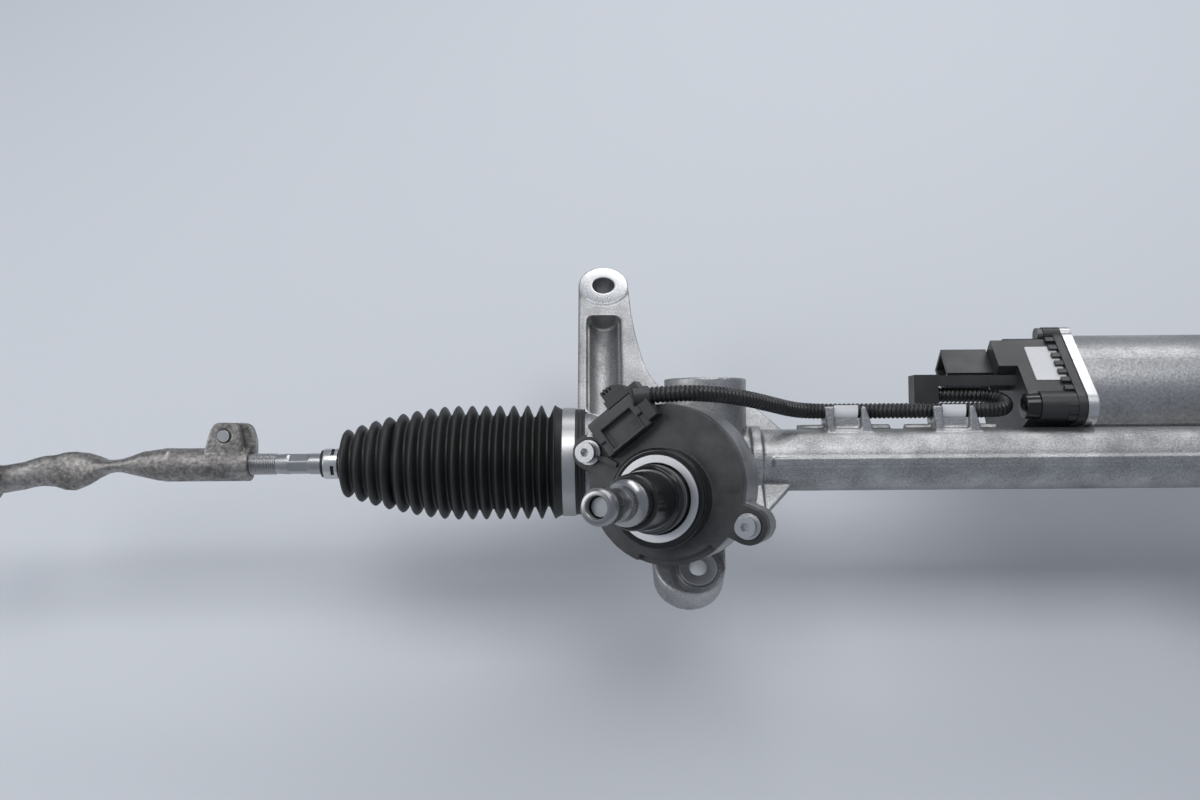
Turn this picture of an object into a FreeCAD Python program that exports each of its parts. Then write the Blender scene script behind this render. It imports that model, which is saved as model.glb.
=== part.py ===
import FreeCAD, Part
import math
import os

# Electric power steering rack. Millimetres, +Z up, +X along the rack towards the motor end.
# It is drawn about the rack axis, with X = 0 where the pinion axis passes the rack, and every
# solid is moved at the end so that the origin is the top of the long arm's mounting bore.

V = FreeCAD.Vector
Placement = FreeCAD.Placement
Rotation = FreeCAD.Rotation
ALONG = V(1, 0, 0)
UP = V(0, 0, 1)

# Rack and pinion gearing
RACK_DIAMETER = 30.0
RACK_TRAVEL = 70.0
MODULE = 2.1
PINION_TEETH = 9
PRESSURE_ANGLE = 25.0
PROFILE_SHIFT = 0.45
ADDENDUM = 0.8
TOOTH_BACKLASH = 0.25
ROOT_CLEARANCE = 0.45
PITCH_PLANE_HEIGHT = 11.0
PINION_FACE = 34.0

# Lean of the steering shaft: about the rack, then along it
SHAFT_ROLL = 35.0
SHAFT_SIDE = 22.0

# Fits
RUNNING_GAP = 0.05
FREE_GAP = 0.4

# Housing tube and the seats of the bellows
TUBE_DIAMETER = 41.5
TUBE_BORE = 34.5
STOP_FACE_X = -91.5
SEAT_RADIUS = 32.5
SEAT_LENGTH = 19.0
TUBE_END_X = 366.0
STOP_GAP = 1.5

# Pinion tower, in the shaft's own frame: heights are measured up the shaft from the rack
TOWER_RADIUS = 50.0
TOWER_OFFSET = 7.7
TOWER_FOOT = 24.0
TOWER_TOP = 63.0
TOWER_NECK_RADIUS = 33.0
LOWER_BOSS_RADIUS = 21.0
LOWER_BOSS_END = -48.0
GEAR_CAVITY_RADIUS = 14.0
BEARING_RADIUS = 21.0
BEARING_HEIGHT = 14.0
BEARING_FOOT = 26.0
JOURNAL_RADIUS = 10.0
LOWER_JOURNAL_RADIUS = 6.5
LOWER_BEARING_RADIUS = 11.0
LOWER_BEARING_LENGTH = 14.0
CAP_RADIUS = 16.0
CAP_THICKNESS = 6.0
SENSOR_BORE_RADIUS = 25.0
SCREW_LUG_RADIUS = 11.5
SCREW_LUG_DEPTH = 16.0
COVER_SCREWS = (V(-50.0, 28.0, 0), V(52.9, -16.7, 0))

# Torque sensor cover
COVER_THICKNESS = 8.0
COVER_WALL = 3.0
COLLAR_RADIUS = 30.4
COLLAR_HEIGHT = 22.0
SEAL_RING_OUTER = 26.6
SEAL_RING_INNER = 21.9
SEAL_RING_HEIGHT = 4.5
SEAL_RING_STAND = 3.0
SOCKET_CENTRE = V(-26.1, 45.1, 0)
SOCKET_LENGTH = 34.9
SOCKET_WIDTH = 23.7
SOCKET_HEIGHT = 10.0
SOCKET_TURN = 36.8
WINDOW_LENGTH = 24.0
WINDOW_WIDTH = 12.0
WINDOW_DEPTH = 5.0
PLUG_DEPTH = 5.0
LATCH_LENGTH = 24.0
LATCH_WIDTH = 6.0
LATCH_HEIGHT = 9.0
PLUG_NOSE = 7.0

# Steering input shaft, heights up the shaft
INPUT_FOOT = 70.0
INPUT_TIP = 182.5
INPUT_RADIUS = 12.0
SPLINE_RADIUS = 10.4
SPLINE_GROOVE_RADIUS = 8.9
COLLAR_FOOT = 131.0
COLLAR_TOP = 140.0
SHAFT_COLLAR_RADIUS = 15.0
TIP_BORE_RADIUS = 6.5
TIP_BORE_DEPTH = 12.0
TORSION_RADIUS = 3.6
TORSION_HEAD_RADIUS = 5.4
BOOT_FOOT = 83.0
BOOT_FOOT_RADIUS = 21.5
BOOT_TOP_RADIUS = 17.0
MAGNET_RADIUS = 19.0
MAGNET_HEIGHT = 7.0

# Support yoke behind the rack
YOKE_X = 5.0
YOKE_BOSS_RADIUS = 27.5
YOKE_BOSS_REACH = 55.0
YOKE_RADIUS = 17.0
YOKE_LENGTH = 25.0
YOKE_PLUG_THICKNESS = 9.0
YOKE_HEX = 17.0
YOKE_SPRING_GAP = 4.0

# Long mounting arm
ARM_X = -62.9
ARM_Y = 153.2
ARM_TOP_Z = 8.0
ARM_BOSS_RADIUS = 18.85
ARM_BOSS_HEIGHT = 34.0
ARM_BORE_RADIUS = 8.1
ARM_DEPTH = 28.0
ARM_RIB = 6.5
ARM_POCKET_DEPTH = 10.0

# Lower mounting lug
LUG_X = -3.0
LUG_Y = -71.0
LUG_TOP_Z = -20.0
LUG_RADIUS = 23.5
LUG_REACH = 10.0
LUG_HEIGHT = 22.0
SLEEVE_RADIUS = 12.5
SLEEVE_BORE_RADIUS = 5.8
SLEEVE_STAND = 1.0
SPOT_FACE_RADIUS = 17.5

# Cable brackets on the tube
BRACKET_X = (99.0, 171.5)
BRACKET_LENGTH = 31.0
BRACKET_TAPER = 3.0
BRACKET_WIDTH = 20.0
BRACKET_HEIGHT = 35.5
BRACKET_LEAN = 34.4
CONDUIT_DIAMETER = 10.5
CONDUIT_HEIGHT = 32.7
CLIP_WALL = 1.2
CLIP_LENGTH = 16.0
TAB_LENGTH = 18.0
TAB_RISE = 5.0

# Servo: ball screw, belt and motor beside the rack
MOTOR_Y = 64.2
MOTOR_Z = -15.4
MOTOR_RADIUS = 43.0
MOTOR_WALL = 4.0
RAIL_WIDTH = 9.0
RAIL_STAND = 2.0
SERVO_WALL = 4.0
SERVO_LENGTH = 46.0
SCREW_SIZE = 6.0
NUT_RADIUS = 25.0
NUT_LENGTH = 34.0
NUT_PULLEY_RADIUS = 40.0
BELT_RATIO = 2.5
BELT_WIDTH = 18.0
BELT_THICKNESS = 2.4
NUT_BEARING_RADIUS = 36.0
NUT_BEARING_WIDTH = 14.0
STATOR_LENGTH = 60.0
STATOR_BORE = 22.0
STATOR_SLOTS = 12
ROTOR_RADIUS = 21.0
ROTOR_SHAFT_RADIUS = 6.0
MAGNET_POLES = 8

# Control unit on the motor
FLANGE_X = 259.0
FLANGE_THICKNESS = 7.0
UNIT_LENGTH = 37.0
UNIT_TOP_LEAN = 8.0
UNIT_TOP_HEIGHT = 43.0
UNIT_NEAR = 41.0
UNIT_FAR = 29.0
UNIT_DEPTH = 26.0
UNIT_WALL = 2.5
CAPACITOR_Y = 28.0
CAPACITOR_Z = 21.1
CAPACITOR_RADIUS = 10.3
CAPACITOR_LENGTH = 30.0
POWER_LENGTH = 32.0
POWER_WIDTH = 24.0
POWER_HEIGHT = 20.0

# Tie rods, drawn for the left end and mirrored for the right
INNER_BALL_RADIUS = 14.0
SOCKET_RADIUS = 18.5
SOCKET_DEPTH = 25.0
SOCKET_NOSE = 9.0
ROD_RADIUS = 7.0
NECK_RADIUS = 6.0
HEX_SIZE = 17.0
HEX_X = -261.0
HEX_LENGTH = 15.4
SMOOTH_LENGTH = 11.0
THREAD_LENGTH = 42.0
BELLOWS_END_X = -240.6
BELLOWS_CRESTS = 16
BELLOWS_RADIUS = 37.5
BELLOWS_SMALL_RADIUS = 21.5
BELLOWS_DEPTH = 8.5
BELLOWS_WALL = 1.4
BELLOWS_CUFF = 15.5
CUFF_WALL = 3.0
BIG_CLAMP_WIDTH = 8.5
BIG_CLAMP_WALL = 0.9
SMALL_CUFF_RADIUS = 9.2
SMALL_CLAMP_WIDTH = 10.0
SMALL_CLAMP_WALL = 1.0
SLEEVE_END_X = -298.6
SLEEVE_OUTER = 11.3
ROD_SLEEVE_LENGTH = 76.0
PINCH_HEIGHT = 19.0
PINCH_LUG_RADIUS = 9.5
PINCH_BOLT_RADIUS = 4.0
PINCH_SLOT = 2.4
BAR_WIDTH = 24.0
BAR_THICKNESS = 13.0
OUTER_BALL_X = -492.0
OUTER_BALL_RADIUS = 13.0
OUTER_HOUSING_RADIUS = 22.0
OUTER_HOUSING_HEIGHT = 26.0
STUD_TAPER_RADIUS = 7.5
STUD_END_RADIUS = 6.0
STUD_LENGTH = 52.0

# Places and small sizes inside the tower and the servo
SPOOL_FOOT = 40.0
SPOOL_RADIUS = 14.0
SPLINE_BAND = 8.0
SPLINE_GROOVE = 8.0
TORSION_STAND = 6.0
NUT_RING_HEIGHT = 6.0
COVER_SCREW_RADIUS = 4.0
COVER_SLEEVE_RADIUS = 8.0
COVER_HEAD_RADIUS = 6.5
COVER_HEAD_HEIGHT = 7.0
COVER_KEY = 5.0
PLUG_SPOUT = 10.0
STUB_RADIUS = 8.0
STUB_LENGTH = 20.0
TOOTH_MARGIN = 14.0
BUSH_LENGTH = 20.0
YOKE_FOOT = 5.0
BELT_ROOM = 5.0
SPIGOT_RADIUS = 20.0
SCREW_BOSS_RADIUS = 7.0
SCREW_DEPTH = 14.0
SCREW_HEAD_HEIGHT = 4.0
COVER_FLANGE = 5.0
LOCK_RING_WIDTH = 3.0
MOTOR_BEARING_RADIUS = 14.0
MOTOR_END = 12.0
MAGNET_THICKNESS = 3.0
UNIT_CORNER = 12.5
UNIT_INSET = 4.0
LIP_LENGTH = 6.0
LIP_INSET = 1.0
SHOULDER_WIDTH = 26.0
SHOULDER_HEIGHT = 24.0
SHOULDER_LENGTH = 13.0
PLUG_END_X = 168.0
PLUG_BEHIND = 24.0
LINK_DEPTH = 10.0
LINK_BEHIND = 21.5
LINK_HEIGHT = 7.0
LINK_RISE = 50.3
CABLE_PLUG_DEPTH = 15.0
CABLE_PLUG_LENGTH = 17.0
CABLE_PLUG_HEIGHT = 20.5
CABLE_PLUG_FOOT = 37.5
UNIT_SCREW_BOSS = 5.6
UNIT_SCREW_LENGTH = 12.0
BOARD_THICKNESS = 1.6
POWER_ACROSS = 7.3
POWER_RISE = 18.0
PINION_GAP = 4.0
RIGHT_NECK = 22.0
UNIT_CLEARANCE = 1.0
FLANGE_SCREW_DEPTH = 5.0
SMALL_CUFF_LENGTH = 13.0
SEAT_WALL = 1.5
SEAT_START = 25.0
SEAT_STOP = 125.0
PINCH_X = -317.5
PINCH_DEPTH = 17.0
THREAD_DEPTH = 45.0
OUTER_DROP = -10.0

# Worked out from the values above
PITCH_RADIUS = MODULE * PINION_TEETH / 2
SHAFT_OFFSET = PITCH_PLANE_HEIGHT + PITCH_RADIUS + PROFILE_SHIFT * MODULE
SERVO_X = TUBE_END_X + 6.0
SERVO_END_X = SERVO_X + SERVO_LENGTH
RIGHT_STOP_X = SERVO_END_X + RIGHT_NECK
RACK_MIDDLE_X = (STOP_FACE_X + RIGHT_STOP_X) / 2
INNER_BALL_X = STOP_FACE_X - RACK_TRAVEL - STOP_GAP - SOCKET_DEPTH
MOTOR_CENTRE = V(0, MOTOR_Y, MOTOR_Z)
CAPACITOR_CENTRE = V(0, CAPACITOR_Y, CAPACITOR_Z)
NUT_BEARING_END_X = SERVO_X + SERVO_WALL + NUT_BEARING_WIDTH
NUT_PULLEY_X = NUT_BEARING_END_X + LOCK_RING_WIDTH + 1
TOWER = Placement(
    V(0, -math.cos(math.radians(SHAFT_ROLL)), -math.sin(math.radians(SHAFT_ROLL))) * SHAFT_OFFSET,
    Rotation(ALONG, SHAFT_ROLL).multiply(Rotation(V(0, 1, 0), -SHAFT_SIDE)),
)
ACROSS = Rotation(V(1, 1, 1), 120)


def turned(outline, base=V(0, 0, 0), axis=ALONG):
    """A lathe part: the outline is (distance along the axis, radius) pairs."""
    points = [V(radius, 0, distance) for distance, radius in outline]
    solid = Part.Face(Part.makePolygon(points + [points[0]])).revolve(V(0, 0, 0), UP, 360)
    solid.Placement = Placement(base, Rotation(UP, axis))
    return solid


def drum(radius, start, end, centre=V(0, 0, 0)):
    """A cylinder along the rack's direction from start to end."""
    return Part.makeCylinder(radius, end - start, V(start, centre.y, centre.z), ALONG)


def ring(outer, inner, start, end, centre=V(0, 0, 0)):
    """A tube along the rack's direction."""
    return drum(outer, start, end, centre).cut(drum(inner, start, end, centre))


def post(radius, start, end, x=0.0, y=0.0):
    """A cylinder along the local Z."""
    return Part.makeCylinder(radius, end - start, V(x, y, start), UP)


def block(length, width, height, centre=V(0, 0, 0)):
    """A box that stands on the plane through its centre point."""
    return Part.makeBox(length, width, height, centre - V(length / 2, width / 2, 0))


def tangent_face(start, start_radius, end, end_radius):
    """Two circles in the XY plane joined by their outer tangents."""
    run = end - start
    heading = math.atan2(run.y, run.x)
    spread = math.acos((start_radius - end_radius) / run.Length)

    def rim(centre, radius, angle):
        return centre + V(math.cos(angle), math.sin(angle), 0) * radius

    near = [rim(start, start_radius, heading + turn) for turn in (spread, math.pi, -spread)]
    far = [rim(end, end_radius, heading + turn) for turn in (-spread, 0, spread)]
    edges = [
        Part.Arc(*near).toShape(),
        Part.makeLine(near[2], far[0]),
        Part.Arc(*far).toShape(),
        Part.makeLine(far[2], near[0]),
    ]
    return Part.Face(Part.Wire(edges))


def bar(start, start_radius, end, end_radius, height):
    """A plate with round ends, extruded up local Z."""
    return tangent_face(start, start_radius, end, end_radius).extrude(V(0, 0, height))


def upright(shape, x):
    """Turns a shape drawn in XY and extruded in Z so that it is drawn in YZ and extruded in X."""
    shape.Placement = Placement(V(x, 0, 0), ACROSS).multiply(shape.Placement)
    return shape


def on_tower(shape):
    """Moves a shape drawn about the steering shaft to its place on the rack."""
    shape.Placement = TOWER.multiply(shape.Placement)
    return shape


def on_yoke(shape):
    """Moves a shape drawn up local Z to the yoke's bore, behind the rack."""
    turn = Rotation(ALONG, SHAFT_ROLL - 90)
    shape.Placement = Placement(V(YOKE_X, 0, 0), turn).multiply(shape.Placement)
    return shape


def on_bracket(shape, x):
    """Moves a shape drawn up local Z to a cable bracket's place on the tube."""
    shape.Placement = Placement(V(x, 0, 0), Rotation(ALONG, BRACKET_LEAN - 90)).multiply(shape.Placement)
    return shape


def mirrored(shape):
    """The same piece at the other end of the rack."""
    return shape.mirror(V(RACK_MIDDLE_X, 0, 0), ALONG)


def hexagon(across_flats, height):
    """A hexagonal bar up local Z."""
    corner = across_flats / math.sqrt(3)
    points = [V(corner * math.cos(math.radians(a)), corner * math.sin(math.radians(a)), 0) for a in range(0, 361, 60)]
    return Part.Face(Part.makePolygon(points)).extrude(V(0, 0, height))


def facing(shape, base, axis):
    """Turns a shape drawn up local Z to an axis, with its foot at base."""
    shape.Placement = Placement(base, Rotation(UP, axis)).multiply(shape.Placement)
    return shape


# Castings


def pinion_tower():
    """The tower round the steering shaft, drawn in the shaft's frame."""
    centre = V(0, TOWER_OFFSET, 0)
    drum_top = post(TOWER_RADIUS, TOWER_FOOT + 8, TOWER_TOP, 0, TOWER_OFFSET)
    neck = Part.makeCone(TOWER_NECK_RADIUS, TOWER_RADIUS, 20, V(0, TOWER_OFFSET, TOWER_FOOT - 12), UP)
    tower = drum_top.fuse([neck, post(TOWER_NECK_RADIUS, -14, TOWER_FOOT - 10, 0, TOWER_OFFSET)])
    tower = tower.fuse(post(LOWER_BOSS_RADIUS, LOWER_BOSS_END, 0))
    for screw in COVER_SCREWS:
        lug = tangent_face(centre, SCREW_LUG_RADIUS * 2.2, screw, SCREW_LUG_RADIUS)
        lug.translate(V(0, 0, TOWER_TOP - SCREW_LUG_DEPTH))
        tower = tower.fuse(lug.extrude(V(0, 0, SCREW_LUG_DEPTH)))
    return tower


def tower_bores():
    """Everything that is bored out of the tower, drawn in the shaft's frame."""
    bores = [
        post(GEAR_CAVITY_RADIUS, -PINION_FACE / 2 - PINION_GAP, BEARING_FOOT),
        post(BEARING_RADIUS, BEARING_FOOT, BEARING_FOOT + BEARING_HEIGHT),
        post(SENSOR_BORE_RADIUS, BEARING_FOOT + BEARING_HEIGHT, TOWER_TOP),
        post(LOWER_BEARING_RADIUS, -PINION_FACE / 2 - PINION_GAP - LOWER_BEARING_LENGTH, 0),
        post(CAP_RADIUS, LOWER_BOSS_END, LOWER_BOSS_END + CAP_THICKNESS + 4),
        post(LOWER_BEARING_RADIUS - 2, LOWER_BOSS_END, 0),
    ]
    for screw in COVER_SCREWS:
        bores.append(post(COVER_SCREW_RADIUS, TOWER_TOP - SCREW_LUG_DEPTH + 3, TOWER_TOP, screw.x, screw.y))
    return bores


def long_arm():
    """The arm to the main mounting bore, with its pocket between two ribs."""
    foot = V(ARM_X + 4, 10, 0)
    eye = V(ARM_X, ARM_Y, 0)
    arm = tangent_face(foot, ARM_BOSS_RADIUS + 5, eye, ARM_BOSS_RADIUS)
    arm.translate(V(0, 0, ARM_TOP_Z - 4 - ARM_DEPTH))
    arm = arm.extrude(V(0, 0, ARM_DEPTH))
    boss = post(ARM_BOSS_RADIUS, ARM_TOP_Z - ARM_BOSS_HEIGHT, ARM_TOP_Z, ARM_X, ARM_Y)
    flare = Part.Face(
        Part.makePolygon(
            [
                V(ARM_X, 14, 0),
                V(ARM_X + ARM_BOSS_RADIUS, ARM_Y - 22, 0),
                V(ARM_X + ARM_BOSS_RADIUS + 8, 80, 0),
                V(YOKE_X - YOKE_BOSS_RADIUS, 56, 0),
                V(YOKE_X - 10, 14, 0),
                V(ARM_X, 14, 0),
            ]
        )
    )
    flare.translate(V(0, 0, ARM_TOP_Z - 4 - ARM_DEPTH))
    arm = arm.fuse([boss, flare.extrude(V(0, 0, ARM_DEPTH))])
    pocket_width = 2 * ARM_BOSS_RADIUS - 2 * ARM_RIB
    pocket = tangent_face(
        V(ARM_X + 2, 40, 0), pocket_width / 2 + 3, V(ARM_X, ARM_Y - ARM_BOSS_RADIUS - 16, 0), pocket_width / 2
    )
    pocket.translate(V(0, 0, ARM_TOP_Z - 4 - ARM_POCKET_DEPTH))
    return arm.cut(pocket.extrude(V(0, 0, ARM_POCKET_DEPTH + 10)))


def lower_lug():
    """The lug below the tower that takes the front mounting sleeve."""
    lug = tangent_face(V(LUG_X - 4, -14, 0), LUG_RADIUS + 4, V(LUG_X - 4, LUG_Y - LUG_REACH, 0), LUG_RADIUS)
    lug.translate(V(0, 0, LUG_TOP_Z - LUG_HEIGHT))
    lug = lug.extrude(V(0, 0, LUG_HEIGHT))
    spot = post(SPOT_FACE_RADIUS, LUG_TOP_Z - 1, LUG_TOP_Z, LUG_X, LUG_Y)
    return lug.cut(spot)


def cable_bracket(x):
    """A cast saddle for the cable clip, drawn up local Z from the rack axis."""
    low = TUBE_DIAMETER / 2 - 3
    half = BRACKET_LENGTH / 2
    outline = [
        V(-half, 0, low),
        V(half + BRACKET_TAPER, 0, low),
        V(half - BRACKET_TAPER, 0, BRACKET_HEIGHT),
        V(-half, 0, BRACKET_HEIGHT),
        V(-half, 0, low),
    ]
    saddle = Part.Face(Part.makePolygon(outline)).extrude(V(0, BRACKET_WIDTH, 0))
    saddle.translate(V(0, -BRACKET_WIDTH / 2, 0))
    channel = CONDUIT_DIAMETER / 2 + CLIP_WALL
    floor_height = CONDUIT_HEIGHT - channel
    cut = block(BRACKET_LENGTH * 2, 2 * channel, BRACKET_HEIGHT, V(0, 0, CONDUIT_HEIGHT))
    groove = Part.makeCylinder(channel, BRACKET_LENGTH * 2, V(-BRACKET_LENGTH, 0, CONDUIT_HEIGHT), ALONG)
    inner = block(BRACKET_LENGTH - 8, 2 * channel, floor_height, V(0, 0, TUBE_DIAMETER / 2 + 1))
    saddle = saddle.cut([cut, groove, inner])
    tab = block(TAB_LENGTH, 5, TAB_RISE, V(half + TAB_LENGTH / 2, 4, TUBE_DIAMETER / 2 - 2))
    return on_bracket(saddle.fuse(tab), x)


def pinion_housing():
    """The main casting: tube, pinion tower, arm, lug, yoke boss and cable brackets."""
    tube = drum(TUBE_DIAMETER / 2, STOP_FACE_X, TUBE_END_X)
    seat = drum(SEAT_RADIUS, STOP_FACE_X, STOP_FACE_X + SEAT_LENGTH)
    shoulder = turned(
        [
            (0, 0),
            (0, SEAT_RADIUS),
            (14, TUBE_DIAMETER / 2 + 6),
            (40, TUBE_DIAMETER / 2 + 6),
            (40, 0),
        ],
        V(STOP_FACE_X + SEAT_LENGTH, 0, 0),
    )
    flange = drum(TUBE_DIAMETER / 2 + 14, TUBE_END_X - 8, SERVO_X)
    yoke_boss = on_yoke(post(YOKE_BOSS_RADIUS, 0, YOKE_BOSS_REACH))
    rib = block(TUBE_END_X - TOWER_RADIUS, 6, 2, V((TUBE_END_X + TOWER_RADIUS) / 2, 0, TUBE_DIAMETER / 2 - 1.2))
    rib.Placement = Placement(V(0, 0, 0), Rotation(ALONG, 37)).multiply(rib.Placement)
    gusset = Part.Face(
        Part.makePolygon([V(20, 0, 0), V(66, 0, 0), V(44, -44, 0), V(20, -44, 0), V(20, 0, 0)])
    ).extrude(V(0, 0, 5))
    gusset.Placement = Placement(V(0, 0, 8), Rotation(ALONG, 0)).multiply(gusset.Placement)
    pieces = [
        seat,
        shoulder,
        flange,
        yoke_boss,
        rib,
        gusset,
        on_tower(pinion_tower()),
        long_arm(),
        lower_lug(),
    ]
    pieces += [cable_bracket(x) for x in BRACKET_X]
    casting = tube.fuse(pieces)
    bores = [
        drum(TUBE_BORE / 2, STOP_FACE_X, SERVO_X),
        on_yoke(post(YOKE_RADIUS + RUNNING_GAP, 0, YOKE_BOSS_REACH)),
        post(ARM_BORE_RADIUS, ARM_TOP_Z - ARM_BOSS_HEIGHT, ARM_TOP_Z, ARM_X, ARM_Y),
        post(SLEEVE_RADIUS, LUG_TOP_Z - LUG_HEIGHT, LUG_TOP_Z, LUG_X, LUG_Y),
        ring(2 * SEAT_RADIUS, SEAT_RADIUS, STOP_FACE_X, STOP_FACE_X + BELLOWS_CUFF + 1),
        drum(MOTOR_RADIUS + RAIL_STAND + UNIT_CLEARANCE, FLANGE_X, SERVO_X, MOTOR_CENTRE),
    ]
    bores += [on_tower(bore) for bore in tower_bores()]
    return casting.cut(bores)


# Steering shaft and what it carries


def tooth_flank(radius):
    """Half of a tooth's angle at a radius, for a true involute with profile shift."""
    pressure = math.radians(PRESSURE_ANGLE)
    base = PITCH_RADIUS * math.cos(pressure)
    thickness = MODULE * (math.pi / 2 + 2 * PROFILE_SHIFT * math.tan(pressure)) - TOOTH_BACKLASH
    here = math.acos(base / radius)
    return thickness / (2 * PITCH_RADIUS) + (math.tan(pressure) - pressure) - (math.tan(here) - here)


def pinion_teeth():
    """The pinion's toothed length, with one tooth aimed at the rack."""
    base = PITCH_RADIUS * math.cos(math.radians(PRESSURE_ANGLE))
    tip = PITCH_RADIUS + MODULE * (ADDENDUM + PROFILE_SHIFT)
    root = PITCH_RADIUS - MODULE * (1 - PROFILE_SHIFT) - ROOT_CLEARANCE
    start = base + 0.02
    middle = (start + tip) / 2
    gear = post(root, -PINION_FACE / 2, PINION_FACE / 2)

    def at(radius, angle):
        return V(radius * math.cos(angle), radius * math.sin(angle), -PINION_FACE / 2)

    for tooth in range(PINION_TEETH):
        aim = math.radians(90 + 360 * tooth / PINION_TEETH)
        left = [at(r, aim + tooth_flank(r)) for r in (start, middle, tip)]
        right = [at(r, aim - tooth_flank(r)) for r in (tip, middle, start)]
        foot_right = at(root - 0.5, aim - tooth_flank(start))
        foot_left = at(root - 0.5, aim + tooth_flank(start))
        outline = Part.Wire(
            [
                Part.Arc(*left).toShape(),
                Part.Arc(left[2], at(tip, aim), right[0]).toShape(),
                Part.Arc(*right).toShape(),
                Part.makeLine(right[2], foot_right),
                Part.makeLine(foot_right, foot_left),
                Part.makeLine(foot_left, left[0]),
            ]
        )
        gear = gear.fuse(Part.Face(outline).extrude(V(0, 0, PINION_FACE)))
    return gear


def pinion_shaft():
    """The pinion with its two journals and the seat of the torsion bar."""
    lower_end = -PINION_FACE / 2 - PINION_GAP - LOWER_BEARING_LENGTH
    neck = min(JOURNAL_RADIUS, PITCH_RADIUS - MODULE)
    shaft = pinion_teeth().fuse(
        [
            post(LOWER_JOURNAL_RADIUS, lower_end, -PINION_FACE / 2),
            post(neck, PINION_FACE / 2, BEARING_FOOT),
            post(JOURNAL_RADIUS, BEARING_FOOT, SPOOL_FOOT),
            post(SPOOL_RADIUS, SPOOL_FOOT, INPUT_FOOT),
        ]
    )
    return on_tower(shaft.cut(post(TORSION_HEAD_RADIUS, PINION_FACE / 2, INPUT_FOOT)))


def torsion_bar():
    """The bar that twists between the input shaft and the pinion."""
    foot = PINION_FACE / 2
    top = INPUT_TIP - TIP_BORE_DEPTH + TORSION_STAND
    head = TORSION_HEAD_RADIUS
    outline = [
        (foot, 0),
        (foot, head),
        (foot + 14, head),
        (foot + 16, TORSION_RADIUS),
        (top - 22, TORSION_RADIUS),
        (top - 20, head),
        (top, head),
        (top, 0),
    ]
    return on_tower(turned(outline, axis=UP))


def input_shaft():
    """The splined shaft that the steering column's joint clamps on."""
    lower_spline = COLLAR_TOP + 5
    groove = lower_spline + SPLINE_BAND
    upper_spline = groove + SPLINE_GROOVE
    nose = upper_spline + SPLINE_BAND
    outline = [
        (INPUT_FOOT, 0),
        (INPUT_FOOT, INPUT_RADIUS),
        (COLLAR_FOOT, INPUT_RADIUS),
        (COLLAR_FOOT, SHAFT_COLLAR_RADIUS),
        (COLLAR_TOP - 2, SHAFT_COLLAR_RADIUS),
        (COLLAR_TOP, SHAFT_COLLAR_RADIUS - 2),
        (lower_spline, SPLINE_RADIUS),
        (groove, SPLINE_RADIUS),
        (groove + 1.6, SPLINE_GROOVE_RADIUS),
        (upper_spline - 1.6, SPLINE_GROOVE_RADIUS),
        (upper_spline, SPLINE_RADIUS),
        (INPUT_TIP - 1.5, SPLINE_RADIUS),
        (INPUT_TIP, SPLINE_RADIUS - 1.5),
        (INPUT_TIP, 0),
    ]
    shaft = turned(outline, axis=UP)
    bore = post(TORSION_HEAD_RADIUS, INPUT_FOOT, INPUT_TIP)
    return on_tower(shaft.cut([bore, post(TIP_BORE_RADIUS, INPUT_TIP - TIP_BORE_DEPTH, INPUT_TIP)]))


def shaft_boot():
    """The moulded boot on the input shaft, which turns with it."""
    outline = [
        (BOOT_FOOT, INPUT_RADIUS),
        (BOOT_FOOT, BOOT_FOOT_RADIUS),
        (BOOT_FOOT + 13, BOOT_FOOT_RADIUS),
        (BOOT_FOOT + 15, BOOT_FOOT_RADIUS - 2.5),
        (COLLAR_FOOT - 8, BOOT_TOP_RADIUS + 0.6),
        (COLLAR_FOOT - 7, BOOT_TOP_RADIUS - 0.8),
        (COLLAR_FOOT, BOOT_TOP_RADIUS - 1.2),
        (COLLAR_FOOT, INPUT_RADIUS),
    ]
    return on_tower(turned(outline, axis=UP))


def magnet_ring():
    """The torque sensor's magnet ring on the input shaft."""
    magnet = post(MAGNET_RADIUS, INPUT_FOOT + 1, INPUT_FOOT + 1 + MAGNET_HEIGHT)
    return on_tower(magnet.cut(post(INPUT_RADIUS, INPUT_FOOT, BOOT_FOOT)))


def upper_bearing():
    race = post(BEARING_RADIUS, BEARING_FOOT, BEARING_FOOT + BEARING_HEIGHT)
    return on_tower(race.cut(post(JOURNAL_RADIUS + RUNNING_GAP, 0, TOWER_TOP)))


def lower_bearing():
    foot = -PINION_FACE / 2 - PINION_GAP - LOWER_BEARING_LENGTH
    race = post(LOWER_BEARING_RADIUS, foot, foot + LOWER_BEARING_LENGTH)
    return on_tower(race.cut(post(LOWER_JOURNAL_RADIUS + RUNNING_GAP, foot, 0)))


def bearing_nut():
    """The threaded ring that clamps the upper bearing."""
    foot = BEARING_FOOT + BEARING_HEIGHT
    nut = post(SENSOR_BORE_RADIUS, foot, foot + NUT_RING_HEIGHT)
    notches = [block(3 * SENSOR_BORE_RADIUS, 5, 3, V(0, 0, foot + NUT_RING_HEIGHT - 3))]
    notches.append(block(5, 3 * SENSOR_BORE_RADIUS, 3, V(0, 0, foot + NUT_RING_HEIGHT - 3)))
    return on_tower(nut.cut(notches + [post(SPOOL_RADIUS + 1, foot, TOWER_TOP)]))


def housing_cap():
    """The plug that closes the pinion bore from below."""
    cap = post(CAP_RADIUS, LOWER_BOSS_END, LOWER_BOSS_END + CAP_THICKNESS)
    return on_tower(cap.cut(hexagon(YOKE_HEX, CAP_THICKNESS - 2).translated(V(0, 0, LOWER_BOSS_END))))


# Torque sensor cover


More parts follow.
